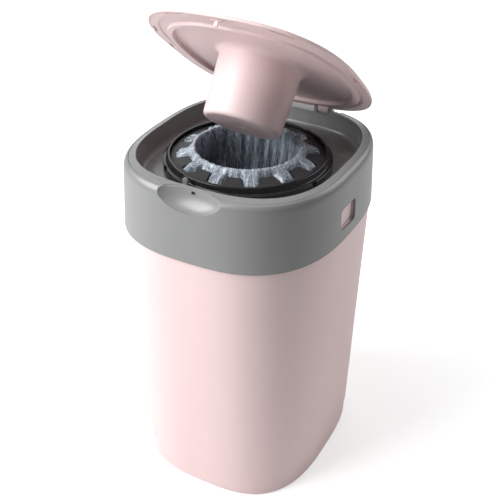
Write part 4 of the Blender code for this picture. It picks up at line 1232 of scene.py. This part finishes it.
    def ticks(self) -> bpy.types.Object:
        """Make the raised ticks on the deck, as one object.

        Returns:
            The finished object.
        """
        (near, far), half = self.tick_run, self.tick_half_width
        low, high = (self.casing.deck + offset for offset in self.tick_heights)
        ticks = Form()
        for angle in self.tick_angles:
            tick = Form().box((near, self.turn_y - half, low), (far, self.turn_y + half, high), 0.25 * MM)
            tick.turned(math.radians(angle), (0, self.turn_y, 0))
            spare = bpy.data.meshes.new("tick")
            tick.mesh.to_mesh(spare)
            ticks.mesh.from_mesh(spare)
            bpy.data.meshes.remove(spare)
            tick.mesh.free()
        return ticks.into_object("ticks")

    def shelf(self) -> bpy.types.Object:
        """Make the floor of the hinge recess.

        Returns:
            The finished object.
        """
        c = self.casing
        inside = [Station(station.plan.grown(-GAP), station.height)
                  for station in c.shoulder_stations(c.wall, 6)]
        envelope = Form().loft(inside[::-1]).into_object("inside")
        half, thick = c.recess_half_width, self.shelf_half_thickness
        shelf = Form().box((-half, self.shelf_front, c.recess_floor - thick),
                           (half, c.past_back, c.recess_floor + thick)).into_object("shelf")
        return combine(shelf, [envelope], Cut.KEEP_COMMON)

    def ear(self, side: Side, edge: int) -> bpy.types.Object:
        """Return one of the two ears that hold a hinge pin.

        Args:
            side: Which knuckle.
            edge: Which end of the knuckle, as a sign of X.

        Returns:
            The ear with its foot.
        """
        c = self.casing
        near = side.value * c.hinge_x + edge * (c.knuckle_width / 2 + c.ear_gap)
        xs = sorted((near, near + edge * c.ear_width))
        ear = Form().rod((xs[0], c.hinge_y, c.hinge_z), (xs[1], c.hinge_y, c.hinge_z),
                         self.ear_radius, 0.4 * MM)
        foot = Form().box((xs[0], c.hinge_y - self.ear_radius * 0.9, c.recess_floor - OVERRUN),
                          (xs[1], c.hinge_y + self.ear_radius * 0.9, c.hinge_z))
        return combine(ear.into_object("ear"), [foot.into_object("foot")], Cut.FUSE)

    def finger(self) -> bpy.types.Object:
        """Make the springy finger that clicks along the turntable.

        Returns:
            The finished object.
        """
        x, half, near, top = self.finger_x, self.finger_half_width, self.finger_face, self.finger_top
        far, low = near - self.finger_thickness, self.casing.deck + GAP
        foot_length, foot_height = self.finger_foot
        finger = Form().box((x - half, far, low), (x + half, near, top)).into_object("click_finger_pawl")
        head = Form().rod((x, far, top), (x, near, top), half).into_object("head")
        foot = Form().box((x - half, near - foot_length, low), (x + half, near, low + foot_height))
        combine(finger, [head, foot.into_object("foot")], Cut.FUSE)
        return smooth(soften(finger, 0.5 * MM))


# Radius, height and rounding of each corner of a turned shape, in millimetres
Profile = Sequence[tuple[float, float, float]]


@dataclass
class Rotor:
    """The turntable with its film cassette."""

    casing: Casing
    finishes: Finishes
    turn_y: float = -7.3 * MM
    ring_profile: Profile = (
        (86.5, 371.0, 0.3), (90.4, 371.0, 0.4), (90.4, 380.2, 0.8), (86.6, 381.0, 0.6), (84.8, 386.7, 0.5),
        (82.6, 386.7, 0.5), (82.6, 335.4, 0.0), (70.0, 335.4, 0.3), (70.0, 333.0, 0.3), (84.8, 333.0, 0.5),
        (84.8, 359.0, 0.0), (87.4, 359.0, 0.2), (87.4, 360.0, 0.2), (86.5, 360.9, 0.0))
    retainer_profile: Profile = (
        (86.8, 363.8, 0.3), (91.4, 363.8, 0.3), (91.4, 367.2, 0.3), (86.8, 367.2, 0.3))
    trough_profile: Profile = (
        (57.5, 335.7, 0.6), (82.2, 335.7, 1.2), (82.2, 379.4, 0.3), (80.7, 379.4, 0.3), (80.7, 337.2, 0.8),
        (59.0, 337.2, 0.8), (59.0, 388.0, 0.5), (57.5, 388.0, 0.5))
    cap_profile: Profile = (
        (82.2, 379.7, 0.0), (82.2, 382.7, 0.6), (76.2, 383.7, 1.0), (63.0, 386.7, 0.6), (63.0, 384.9, 0.6),
        (76.2, 381.9, 0.5), (80.4, 379.7, 0.0))
    tab_count: int = 12
    tab_first: float = 16.0
    tab_root: float = 17.0
    tab_tip: float = 11.0
    root_radius: float = 76.2
    tip_radius: float = 63.0
    slot_bow: float = 0.5
    slot_foot: float = 378.0
    slot_depth: float = 12.0
    notch_count: int = 6
    notch_first: float = 46.0
    notch_half_width: float = 4 * MM
    notch_run: tuple[float, float] = (88.2 * MM, 93 * MM)
    notch_heights: tuple[float, float] = (375.7 * MM, 383 * MM)
    stock_pleats: int = 26
    stock_heights: tuple[float, float] = (337.7, 373.3)
    stock_radii: tuple[float, float, float] = (60.4, 77.8, 79.3)

    def disc(self, radius: float) -> Plan:
        """Return a round outline about the turntable's axis."""
        return Plan(radius, radius, 2.0, self.turn_y)

    def turned(self, name: str, profile: Profile, sides: int = SIDES) -> bpy.types.Object:
        """Turn a closed profile about the turntable's axis.

        Args:
            name: The object's name.
            profile: The profile.
            sides: Steps round the turn.

        Returns:
            The object.
        """
        stations = [Station(self.disc(radius * MM), height * MM, rounding * MM)
                    for radius, height, rounding in profile]
        return Form().loft(stations, True, sides).into_object(name)

    def build(self) -> None:
        """Build the ring, the cassette and its film."""
        shop = Assembly(self.casing, self.finishes)
        f = self.finishes
        shop.dress(self.ring(), Body.ROTOR, f.black, ["turntable"])
        retainer = smooth(self.turned("retaining_ring", self.retainer_profile))
        shop.dress(retainer, Body.ROTOR, f.charcoal, ["turntable_retainer"])
        trough = smooth(self.turned("cassette_trough", self.trough_profile, FINE_SIDES))
        shop.dress(trough, Body.ROTOR, f.charcoal, ["cassette_tray"])
        shop.dress(self.cap(), Body.ROTOR, f.charcoal, ["cassette_cap"])
        shop.dress(self.film_stock(), Body.ROTOR, f.film, ["film_pack"])
        film = shop.dress(self.film_sleeve(), Body.ROTOR, f.film, ["film_sleeve"])

    def ring(self) -> bpy.types.Object:
        """Make the black turntable with its grip notches.

        Returns:
            The finished object.
        """
        ring = self.turned("turntable_ring", self.ring_profile, FINE_SIDES)
        (near, far), half = self.notch_run, self.notch_half_width
        low, high = self.notch_heights
        for index in range(self.notch_count):
            notch = Form().box((near, self.turn_y - half, low), (far, self.turn_y + half, high), 0.8 * MM)
            angle = math.radians(self.notch_first) + TURN * index / self.notch_count
            notch.turned(angle, (0, self.turn_y, 0))
            combine(ring, [notch.into_object("notch")], Cut.REMOVE)
        return smooth(ring)

    def cap(self) -> bpy.types.Object:
        """Make the cap with its tabs.

        Returns:
            The finished object.
        """
        cap = self.turned("cassette_cover", self.cap_profile, FINE_SIDES)
        for index in range(self.tab_count):
            middle = self.tab_first + (index + 0.5) * 360 / self.tab_count
            combine(cap, [self.film_slot(middle)], Cut.REMOVE)
        return smooth(soften(cap, 0.35 * MM, segments=2))

    def film_slot(self, middle: float) -> bpy.types.Object:
        """Return the gap between two tabs.

        Args:
            middle: Its direction from the axis, in degrees.

        Returns:
            The gap as a solid.
        """
        pitch = 360 / self.tab_count
        near, far = self.tip_radius * MM - OVERRUN, self.root_radius * MM
        root, tip = (pitch - self.tab_root) / 2, (pitch - self.tab_tip) / 2
        bowed = far + self.slot_bow * MM
        outline = []
        for radius, offset in ((near, -tip), (far, -root), (bowed, 0), (far, root), (near, tip)):
            angle = math.radians(middle + offset)
            outline.append(Vector((radius * math.cos(angle), self.turn_y + radius * math.sin(angle),
                                   self.slot_foot * MM)))
        return Form().prism(outline, Vector((0, 0, self.slot_depth * MM))).into_object("film_slot")

    def film_stock(self) -> bpy.types.Object:
        """Make the gathered film in the trough, in fine pleats.

        Returns:
            The finished object.
        """
        pleats, (low, high) = self.stock_pleats, self.stock_heights
        inner, valley, crest = self.stock_radii
        profile = []
        for index in range(pleats):
            height = low + (high - low) * index / pleats
            profile.append((valley, height, 0.0))
            profile.append((crest, height + (high - low) / pleats / 2, 0.0))
        profile += [(valley, high, 0.0), (inner, high, 0.4), (inner, low, 0.4)]
        return smooth(self.turned("film_stock", profile))

    def film_sleeve(self) -> bpy.types.Object:
        """Make the crinkled sleeve: out between the tabs, over the throat and down to its knot.

        Returns:
            The finished object.
        """
        gathered = GatheredFilm(self)
        sleeve = Form().skin(gathered.rows(), capped=False).into_object("film_sleeve_skin")
        sleeve.data.shade_smooth()
        skin = sleeve.modifiers.new("film thickness", "SOLIDIFY")
        skin.thickness = 0.12 * MM
        skin.offset = 0.0
        return sleeve


@dataclass
class GatheredFilm:
    """Where the sleeve of film lies, at each angle round the throat and each step along it."""

    rotor: Rotor
    steps: int = 420
    pleats: int = 31
    tab_margin: float = 0.5
    tab_blend: float = 3.2
    throat_top: float = 388.0
    crinkle_still: float = 0.15
    crinkle_free: float = 1.1
    crinkle_over_edge: float = 0.6
    between: tuple[tuple[float, float], ...] = (
        (76.6, 380.6), (75.6, 383.4), (73.6, 385.6), (71.2, 387.0), (68.6, 387.9), (66.0, 388.4),
        (63.8, 389.0), (62.2, 390.0), (60.9, 391.4), (59.6, 392.5), (58.4, 393.1))
    under_tabs: tuple[tuple[float, float], ...] = (
        (76.6, 380.3), (75.4, 380.6), (73.4, 381.0), (71.0, 381.4), (68.4, 381.9), (65.8, 382.6),
        (63.6, 383.6), (62.0, 386.0), (61.0, 389.0), (60.0, 391.6), (58.6, 392.9))
    inside: tuple[tuple[float, float], ...] = (
        (57.2, 393.3), (56.2, 392.9), (55.6, 391.9), (55.3, 390.0), (55.1, 387.5), (55.0, 384.0),
        (54.9, 380.0), (54.8, 375.0), (54.6, 370.0), (54.4, 364.0), (54.0, 358.0), (53.5, 352.0),
        (52.8, 346.0), (51.8, 340.0), (50.4, 334.5), (48.4, 329.0), (45.6, 323.5), (41.8, 318.5),
        (36.6, 314.0), (30.2, 310.4), (23.2, 307.2), (16.4, 304.4), (11.0, 302.0), (7.6, 299.0),
        (6.6, 295.0), (6.2, 291.0), (7.4, 288.0), (9.4, 285.6), (10.0, 282.6), (9.0, 279.4),
        (6.6, 276.4), (4.6, 273.6), (4.8, 270.0), (6.2, 266.0), (7.4, 262.4))

    def in_gap(self, degrees: float, radius: float) -> float:
        """Tell how free of the tabs a place is.

        Args:
            degrees: Its direction from the axis.
            radius: Its distance from the axis, in millimetres.

        Returns:
            1 in the middle of a gap, and 0 under a tab.
        """
        r = self.rotor
        pitch = 360 / r.tab_count
        off = abs((degrees - r.tab_first + pitch / 2) % pitch - pitch / 2)
        share = min(max((r.root_radius - radius) / (r.root_radius - r.tip_radius), 0.0), 1.0)
        edge = (r.tab_root + (r.tab_tip - r.tab_root) * share) / 2
        t = min(max((off - edge - self.tab_margin) / self.tab_blend, 0.0), 1.0)
        return t * t * (3 - 2 * t)

    def point(self, radius: float, height: float, angle: float, crinkle: float, rate: float = 0.13) -> Vector:
        """Return a point of the film.

        Args:
            radius: Distance from the axis before it is crinkled, in millimetres.
            height: Height before it is crinkled, in millimetres.
            angle: Direction from the axis, in radians.
            crinkle: Size of the crinkles, in millimetres.
            rate: How fast the crinkles change with height.

        Returns:
            The point in the model's frame.
        """
        wave = Vector((math.cos(angle), math.sin(angle), 0)) * radius * 0.22
        place = wave + Vector((0, 0, height * rate))
        push = noise.fractal(place, 0.9, 2.1, 4) * crinkle
        lift = noise.fractal(place + Vector((17, 5, 3)), 0.9, 2.1, 4) * crinkle
        reach = (radius + push) * MM
        return Vector((reach * math.cos(angle), self.rotor.turn_y + reach * math.sin(angle),
                       (height + lift) * MM))

    def rows(self) -> list[list[Vector]]:
        """Lay the film out in rings of points, from the hem to the tail.

        Returns:
            The rings.
        """
        angles = [TURN * step / self.steps for step in range(self.steps)]
        found = []
        for (gap_radius, gap_height), (tab_radius, tab_height) in zip(self.between, self.under_tabs):
            row = []
            for angle in angles:
                share = self.in_gap(math.degrees(angle), gap_radius)
                radius = tab_radius + (gap_radius - tab_radius) * share
                height = tab_height + (gap_height - tab_height) * share
                free = share if height < self.throat_top else self.crinkle_over_edge
                row.append(self.point(radius, height, angle, self.crinkle_still + self.crinkle_free * free))
            found.append(row)
        for radius, height in self.inside:
            depth = min(max((392 - height) / 45, 0.0), 1.0)
            closing = min(1.0, radius / 30)
            row = []
            for angle in angles:
                round_throat = Vector((math.cos(angle) * 2.2, math.sin(angle) * 2.2, height * 0.012))
                drift = noise.noise(round_throat) * 1.6
                fold = 0.5 + 0.5 * math.sin(self.pleats * angle + drift * 3.0)
                inward = (0.5 + 2.3 * depth) * fold * closing
                crinkle = (0.4 + 0.9 * depth) * closing
                row.append(self.point(radius - inward, height, angle, crinkle, 0.03))
            found.append(row)
        return found


@dataclass
class Lid:
    """The domed lid with the plunger cup under it."""

    casing: Casing
    finishes: Finishes
    turn_y: float = -7.3 * MM
    wall: float = 1.5 * MM
    edge: float = 3.2 * MM
    rise: float = 10.0 * MM
    panel_rise: float = 2.5 * MM
    cup_foot: float = -68.6 * MM
    cup_tip: float = 41.4 * MM
    cup_root: float = 44.0 * MM
    fillet: float = 8.0 * MM
    fillet_steps: int = 8
    rib: Plan = Plan(96.5 * MM, 104.0 * MM, 2.6, 3.6 * MM)
    rib_width: float = 5.0 * MM
    rib_drop: float = 2.0 * MM
    step_inset: float = 11.0 * MM
    step_rise: float = 1.2 * MM
    cup_floor: float = 2.0 * MM
    slot_inset: float = 4.6 * MM
    slot_half_width: float = 1.3 * MM
    slot_half_height: float = 2.2 * MM
    rim_slots: tuple[tuple[float, float], ...] = (
        (-113.5, 22), (-60, 25), (-5.5, 12), (-82.5, 7), (-150, 16), (186, 11))
    web_length: float = 10 * MM
    clip_half_width: float = 2 * MM
    clip_face: float = -119.7 * MM
    clip_back: float = -118.3 * MM
    clip_foot: float = 387.2 * MM
    nose_back: float = -117.4 * MM
    nose_height: float = 2 * MM
    catch_half_width: float = 6 * MM
    catch_face: float = -121.1 * MM
    catch_thickness: float = 1.0 * MM
    dome: tuple[tuple[float, float], ...] = (
        (0.992, 0.05), (0.97, 0.10), (0.95, 0.14), (0.915, 0.205), (0.88, 0.27), (0.82, 0.37), (0.76, 0.46),
        (0.68, 0.565), (0.6, 0.66), (0.5, 0.758), (0.4, 0.84), (0.29, 0.91), (0.18, 0.96), (0.08, 0.985))

    def build(self) -> None:
        """Build the shell, the panel with its cup, and the catch."""
        shop = Assembly(self.casing, self.finishes)
        f = self.finishes
        shell, panel = self.shell(), self.panel()
        self.add_hinge(shell, panel)
        for piece, material, slot, node in ((shell, f.pink, "pink", "lid_shell"),
                                            (panel, f.pink_inside, "pink_inside", "lid_panel"),
                                            (self.catch(), f.pink_inside, "pink_inside", "lid_catch")):
            smooth(self.opened(piece))
            shop.dress(piece, Body.LID, material, [node])

    def opened(self, piece: bpy.types.Object) -> bpy.types.Object:
        """Turn a closed piece's mesh to the lid's resting angle.

        Args:
            piece: The piece, as it lies in a closed lid.

        Returns:
            The same piece.
        """
        axis = Vector((0, self.casing.hinge_y, self.casing.hinge_z))
        swing = Matrix.Rotation(-self.casing.lid_open, 4, "X")
        piece.data.transform(Matrix.Translation(axis) @ swing @ Matrix.Translation(-axis))
        return piece

    def dome_stations(self, plan: Plan, foot: float, rise: float) -> list[Station]:
        """Return the dome's stations from its edge to its crown."""
        return [Station(plan.scaled(share), foot + rise * lift) for share, lift in self.dome]

    def shell(self) -> bpy.types.Object:
        """Make the domed outer shell.

        Returns:
            The finished object.
        """
        c = self.casing
        inner, foot = c.lid.grown(-self.wall), c.lid_height + self.edge
        inside = self.dome_stations(inner, foot - self.wall, self.rise)[::-1]
        inside += [Station(inner, foot - self.wall), Station(inner, c.lid_height, 0.35 * MM)]
        outside = [Station(c.lid, c.lid_height, 0.45 * MM), Station(c.lid, foot - 0.5 * MM, 0.45 * MM)]
        outside += self.dome_stations(c.lid, foot, self.rise)
        return Form().loft(inside + outside, sides=FINE_SIDES).into_object("lid_dome")

    def root_fillet(self, skin: float) -> list[Station]:
        """Describe the round between the cup's side and the panel.

        Args:
            skin: How far above the underside the surface lies.

        Returns:
            Stations from the cup's side outwards.
        """
        top = self.casing.lid_height + self.panel_rise
        found = [Station(self.disc((self.cup_root - skin) / MM), top - self.fillet - 3.6 * MM)]
        for step in range(1, self.fillet_steps + 1):
            angle = TURN / 4 * step / self.fillet_steps
            radius = self.cup_root + self.fillet - (self.fillet + skin) * math.cos(angle)
            height = top - self.fillet + (self.fillet + skin) * math.sin(angle)
            found.append(Station(self.disc(radius / MM), height))
        return found

    def panel(self) -> bpy.types.Object:
        """Make the inner panel that is drawn down into the plunger cup.

        Returns:
            The finished object.
        """
        c = self.casing
        base, foot = c.lid_height, c.lid_height + self.cup_foot
        ceiling, rib_foot, ledge = base + self.panel_rise, base - self.rib_drop, base + self.step_rise
        tip = self.cup_tip / MM
        rib_in = self.rib.grown(-self.rib_width)
        step = c.lid.grown(-self.step_inset)
        edge = c.lid.grown(-self.wall - GAP)
        under = [
            Station(self.disc(3.0), foot + 0.5 * MM),
            Station(self.disc(4.2), foot + 0.5 * MM, 0.25 * MM),
            Station(self.disc(4.8), foot, 0.25 * MM),
            Station(self.disc(tip), foot, 4.4 * MM),
            *self.root_fillet(0),
            Station(rib_in.grown(-12.0 * MM), ceiling),
            Station(rib_in.grown(-2.0 * MM), ceiling, 1.2 * MM),
            Station(rib_in, rib_foot, 0.7 * MM),
            Station(self.rib, rib_foot, 0.7 * MM),
            Station(self.rib.grown(0.7 * MM), ledge, 0.5 * MM),
            Station(step, ledge, 0.4 * MM),
            Station(step.grown(self.step_rise), base, 0.35 * MM),
            Station(edge, base, 0.35 * MM),
        ]
        over = [
            Station(edge, base + self.wall),
            Station(step, ledge + self.wall),
            Station(rib_in.grown(-3.5 * MM), ceiling + self.wall),
            *self.root_fillet(self.wall)[::-1],
            Station(self.disc(tip - 1.5), foot + self.cup_floor, 2.8 * MM),
            Station(self.disc(6.0), foot + self.cup_floor),
        ]
        panel = Form().loft(under + over, sides=FINE_SIDES).into_object("lid_lining")
        return combine(panel, [self.rim_slot(*place) for place in self.rim_slots], Cut.REMOVE)

    def disc(self, radius: float) -> Plan:
        """Return a round outline about the plunger's axis, from millimetres."""
        return Plan(radius * MM, radius * MM, 2.0, self.turn_y)

    def rim_slot(self, degrees: float, length: float) -> bpy.types.Object:
        """Return the solid that cuts a slot through the panel near the lid's rim.

        Args:
            degrees: The slot's direction from the middle.
            length: Its length along the rim, in millimetres.

        Returns:
            The solid.
        """
        c = self.casing
        angle = math.radians(degrees)
        line = c.lid.grown(-self.slot_inset)
        middle = line.point(angle, c.lid_height)
        half = length * MM / 2
        run = line.point(angle + 0.02, c.lid_height) - middle
        slot = Form().box((-half, -self.slot_half_width, -self.slot_half_height),
                          (half, self.slot_half_width, self.slot_half_height), 0.4 * MM)
        slot.turned(math.atan2(run.y, run.x), (0, 0, 0))
        bmesh.ops.translate(slot.mesh, verts=slot.mesh.verts, vec=middle)
        return slot.into_object("rim_slot")

    def add_hinge(self, shell: bpy.types.Object, panel: bpy.types.Object) -> None:
        """Notch the lid round the ears and give its panel two knuckles.

        Args:
            shell: The outer shell, closed.
            panel: The inner panel, closed.
        """
        c = self.casing
        half = c.knuckle_width / 2
        reach = half + 2 * c.ear_gap + c.ear_width
        for side in Side:
            middle = side.value * c.hinge_x
            for piece in (shell, panel):
                clear = c.hinge_rod(side, reach, c.knuckle_radius + c.ear_gap).into_object("clear")
                combine(piece, [clear], Cut.REMOVE)
            knuckle = c.hinge_rod(side, half, c.knuckle_radius, 0.5 * MM).into_object("knuckle")
            web = Form().box((middle - half, c.hinge_y - self.web_length, c.lid_height + GAP),
                             (middle + half, c.hinge_y, c.lid_height + self.wall - GAP)).into_object("web")
            combine(panel, [combine(knuckle, [web], Cut.FUSE)], Cut.FUSE)
            hole = c.hinge_rod(side, half + OVERRUN, c.pin_radius + GAP).into_object("pin_hole")
            combine(panel, [hole], Cut.REMOVE)

    def catch(self) -> bpy.types.Object:
        """Make the clip at the lid's front.

        Returns:
            The finished object.
        """
        top, half = self.casing.lid_height - GAP, self.clip_half_width
        corner = (-half, self.clip_face, self.clip_foot)
        catch = Form().box(corner, (half, self.clip_back, top)).into_object("lid_clip")
        nose = Form().box(corner, (half, self.nose_back, self.clip_foot + self.nose_height))
        base = Form().box((-self.catch_half_width, self.catch_face, top - self.catch_thickness),
                          (self.catch_half_width, self.clip_back, top))
        combine(catch, [nose.into_object("nose"), base.into_object("base")], Cut.FUSE)
        return soften(catch, 0.25 * MM, segments=2)


@dataclass
class Works:
    """The hidden works under the deck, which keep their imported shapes."""

    finishes: Finishes

    def build(self) -> None:
        """Give each carried-over node its finish."""
        f = self.finishes
        finish_of = {
            "gripper_ring": f.liner,
            "gripper_fingers": f.rubber,
            "cutter_housing": f.charcoal,
            "cutter_blade": f.steel,
            "hinge_pin_left": f.steel,
            "hinge_pin_right": f.steel,
        }
        for name, material in finish_of.items():
            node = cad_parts[name]
            node.data.materials.clear()
            node.data.materials.append(material)
            LOG.info("%s keeps its shape", name)


@dataclass(frozen=True)
class Lamp:
    """A square soft lamp: its name, where it hangs and its power in watts."""

    name: str
    place: tuple[float, float, float]
    power: float


@dataclass
class Studio:
    """A pale floor, soft lamps and the photograph's camera."""

    camera_place: tuple[float, float, float] = (0.4001, -0.7452, 0.7974)
    target: tuple[float, float, float] = (-0.00990, 0.01551, 0.24557)
    lens: float = 63.21
    sensor: float = 36.0
    nearest_seen: float = 0.05
    floor_size: float = 12.0
    floor_sink: float = 0.2 * MM
    floor_glow: tuple[float, float] = (0.40, 1.05)
    glow_run: tuple[float, float] = (0.2, 1.6)
    fill: float = 0.05
    lamp_size: float = 1.3
    lamp_aim: tuple[float, float, float] = (0, 0, 0.25)
    lamps: tuple[Lamp, ...] = (
        Lamp("key", (-0.985, -0.985, 1.225), 38.0), Lamp("left", (-1.393, -0.373, 1.151), 3.0),
        Lamp("left_rim", (-0.770, 1.334, 0.968), 6.0), Lamp("right_rim", (0.946, 1.128, 1.100), 13.5),
        Lamp("top", (0.0, -0.06, 1.95), 6.0))

    def build(self) -> None:
        """Set up the floor, the lamps, the sky and the camera."""
        self.add_floor()
        self.add_sky()
        for lamp in self.lamps:
            self.add_lamp(lamp)
        self.add_camera()
        bpy.context.scene.view_settings.view_transform = "Standard"

    def aimed(self, item: bpy.types.Object, place: Point, target: Point) -> None:
        """Put an object in a place, facing a target.

        Args:
            item: The lamp or the camera.
            place: Where it goes.
            target: What it faces.
        """
        item.location = place
        item.rotation_euler = (Vector(target) - Vector(place)).to_track_quat("-Z", "Y").to_euler()
        bpy.context.scene.collection.objects.link(item)

    def add_lamp(self, lamp: Lamp) -> None:
        """Add a lamp.

        Args:
            lamp: Its name, place and power.
        """
        light = bpy.data.lights.new(lamp.name, "AREA")
        light.shape = "SQUARE"
        light.size = self.lamp_size
        light.energy = lamp.power
        self.aimed(bpy.data.objects.new(lamp.name, light), lamp.place, self.lamp_aim)

    def add_floor(self) -> None:
        """Add the floor, which glows more with distance to the camera and keeps a soft shadow."""
        form = Form()
        bmesh.ops.create_grid(form.mesh, x_segments=1, y_segments=1, size=self.floor_size / 2)
        floor = form.into_object("floor")
        floor.location = (0, 0, -self.floor_sink)
        recipe = Recipe("floor_paper")
        seen = recipe.node("ShaderNodeLightPath")
        shown = recipe.node("ShaderNodeMath", {"operation": "MAXIMUM"},
                            {0: seen.outputs["Is Camera Ray"], 1: seen.outputs["Is Transmission Ray"]})
        reach = recipe.node("ShaderNodeVectorMath", {"operation": "LENGTH"}, {0: recipe.place})
        far = recipe.ramp(Number(recipe, reach.outputs["Value"]), *self.glow_run)
        near_glow, far_glow = self.floor_glow
        near_share = near_glow / far_glow
        share = Number(recipe, shown.outputs[0]) * (far * (1 - near_share) + near_share)
        glow = recipe.blend(share, (0.0, 0.0, 0.0), (far_glow, far_glow, far_glow))
        recipe.finish(Base_Color=(0.86, 0.86, 0.86, 1.0), Roughness=0.9, Specular_IOR_Level=0.1,
                      Emission_Color=glow, Emission_Strength=1.0)
        floor.data.materials.append(recipe.material)

    def add_sky(self) -> None:
        """Add a soft even sky that the camera sees as white."""
        world = bpy.data.worlds.new("studio")
        bpy.context.scene.world = world
        world.use_nodes = True
        tree = world.node_tree
        paths = tree.nodes.new("ShaderNodeLightPath")
        seen = tree.nodes.new("ShaderNodeMath")
        seen.operation = "MAXIMUM"
        tree.links.new(paths.outputs["Is Camera Ray"], seen.inputs[0])
        tree.links.new(paths.outputs["Is Transmission Ray"], seen.inputs[1])
        level = tree.nodes.new("ShaderNodeMapRange")
        level.inputs["To Min"].default_value = self.fill
        level.inputs["To Max"].default_value = 1.0
        tree.links.new(seen.outputs[0], level.inputs["Value"])
        background = tree.nodes["Background"]
        background.inputs["Color"].default_value = (1.0, 1.0, 1.0, 1.0)
        tree.links.new(level.outputs["Result"], background.inputs["Strength"])

    def add_camera(self) -> None:
        """Add the camera at the photograph's viewing angle."""
        data = bpy.data.cameras.new("camera")
        data.lens = self.lens
        data.sensor_width = self.sensor
        data.clip_start = self.nearest_seen
        camera = bpy.data.objects.new("camera", data)
        self.aimed(camera, self.camera_place, self.target)
        bpy.context.scene.camera = camera


def main() -> None:
    """Build every sub-assembly in order and note the size of the result."""
    casing, finishes = Casing(), Finishes()
    Studio().build()
    for assembly in (Tub, Head, Rotor, Lid):
        assembly(casing, finishes).build()
    Works(finishes).build()


if __name__ == "__main__":
    main()
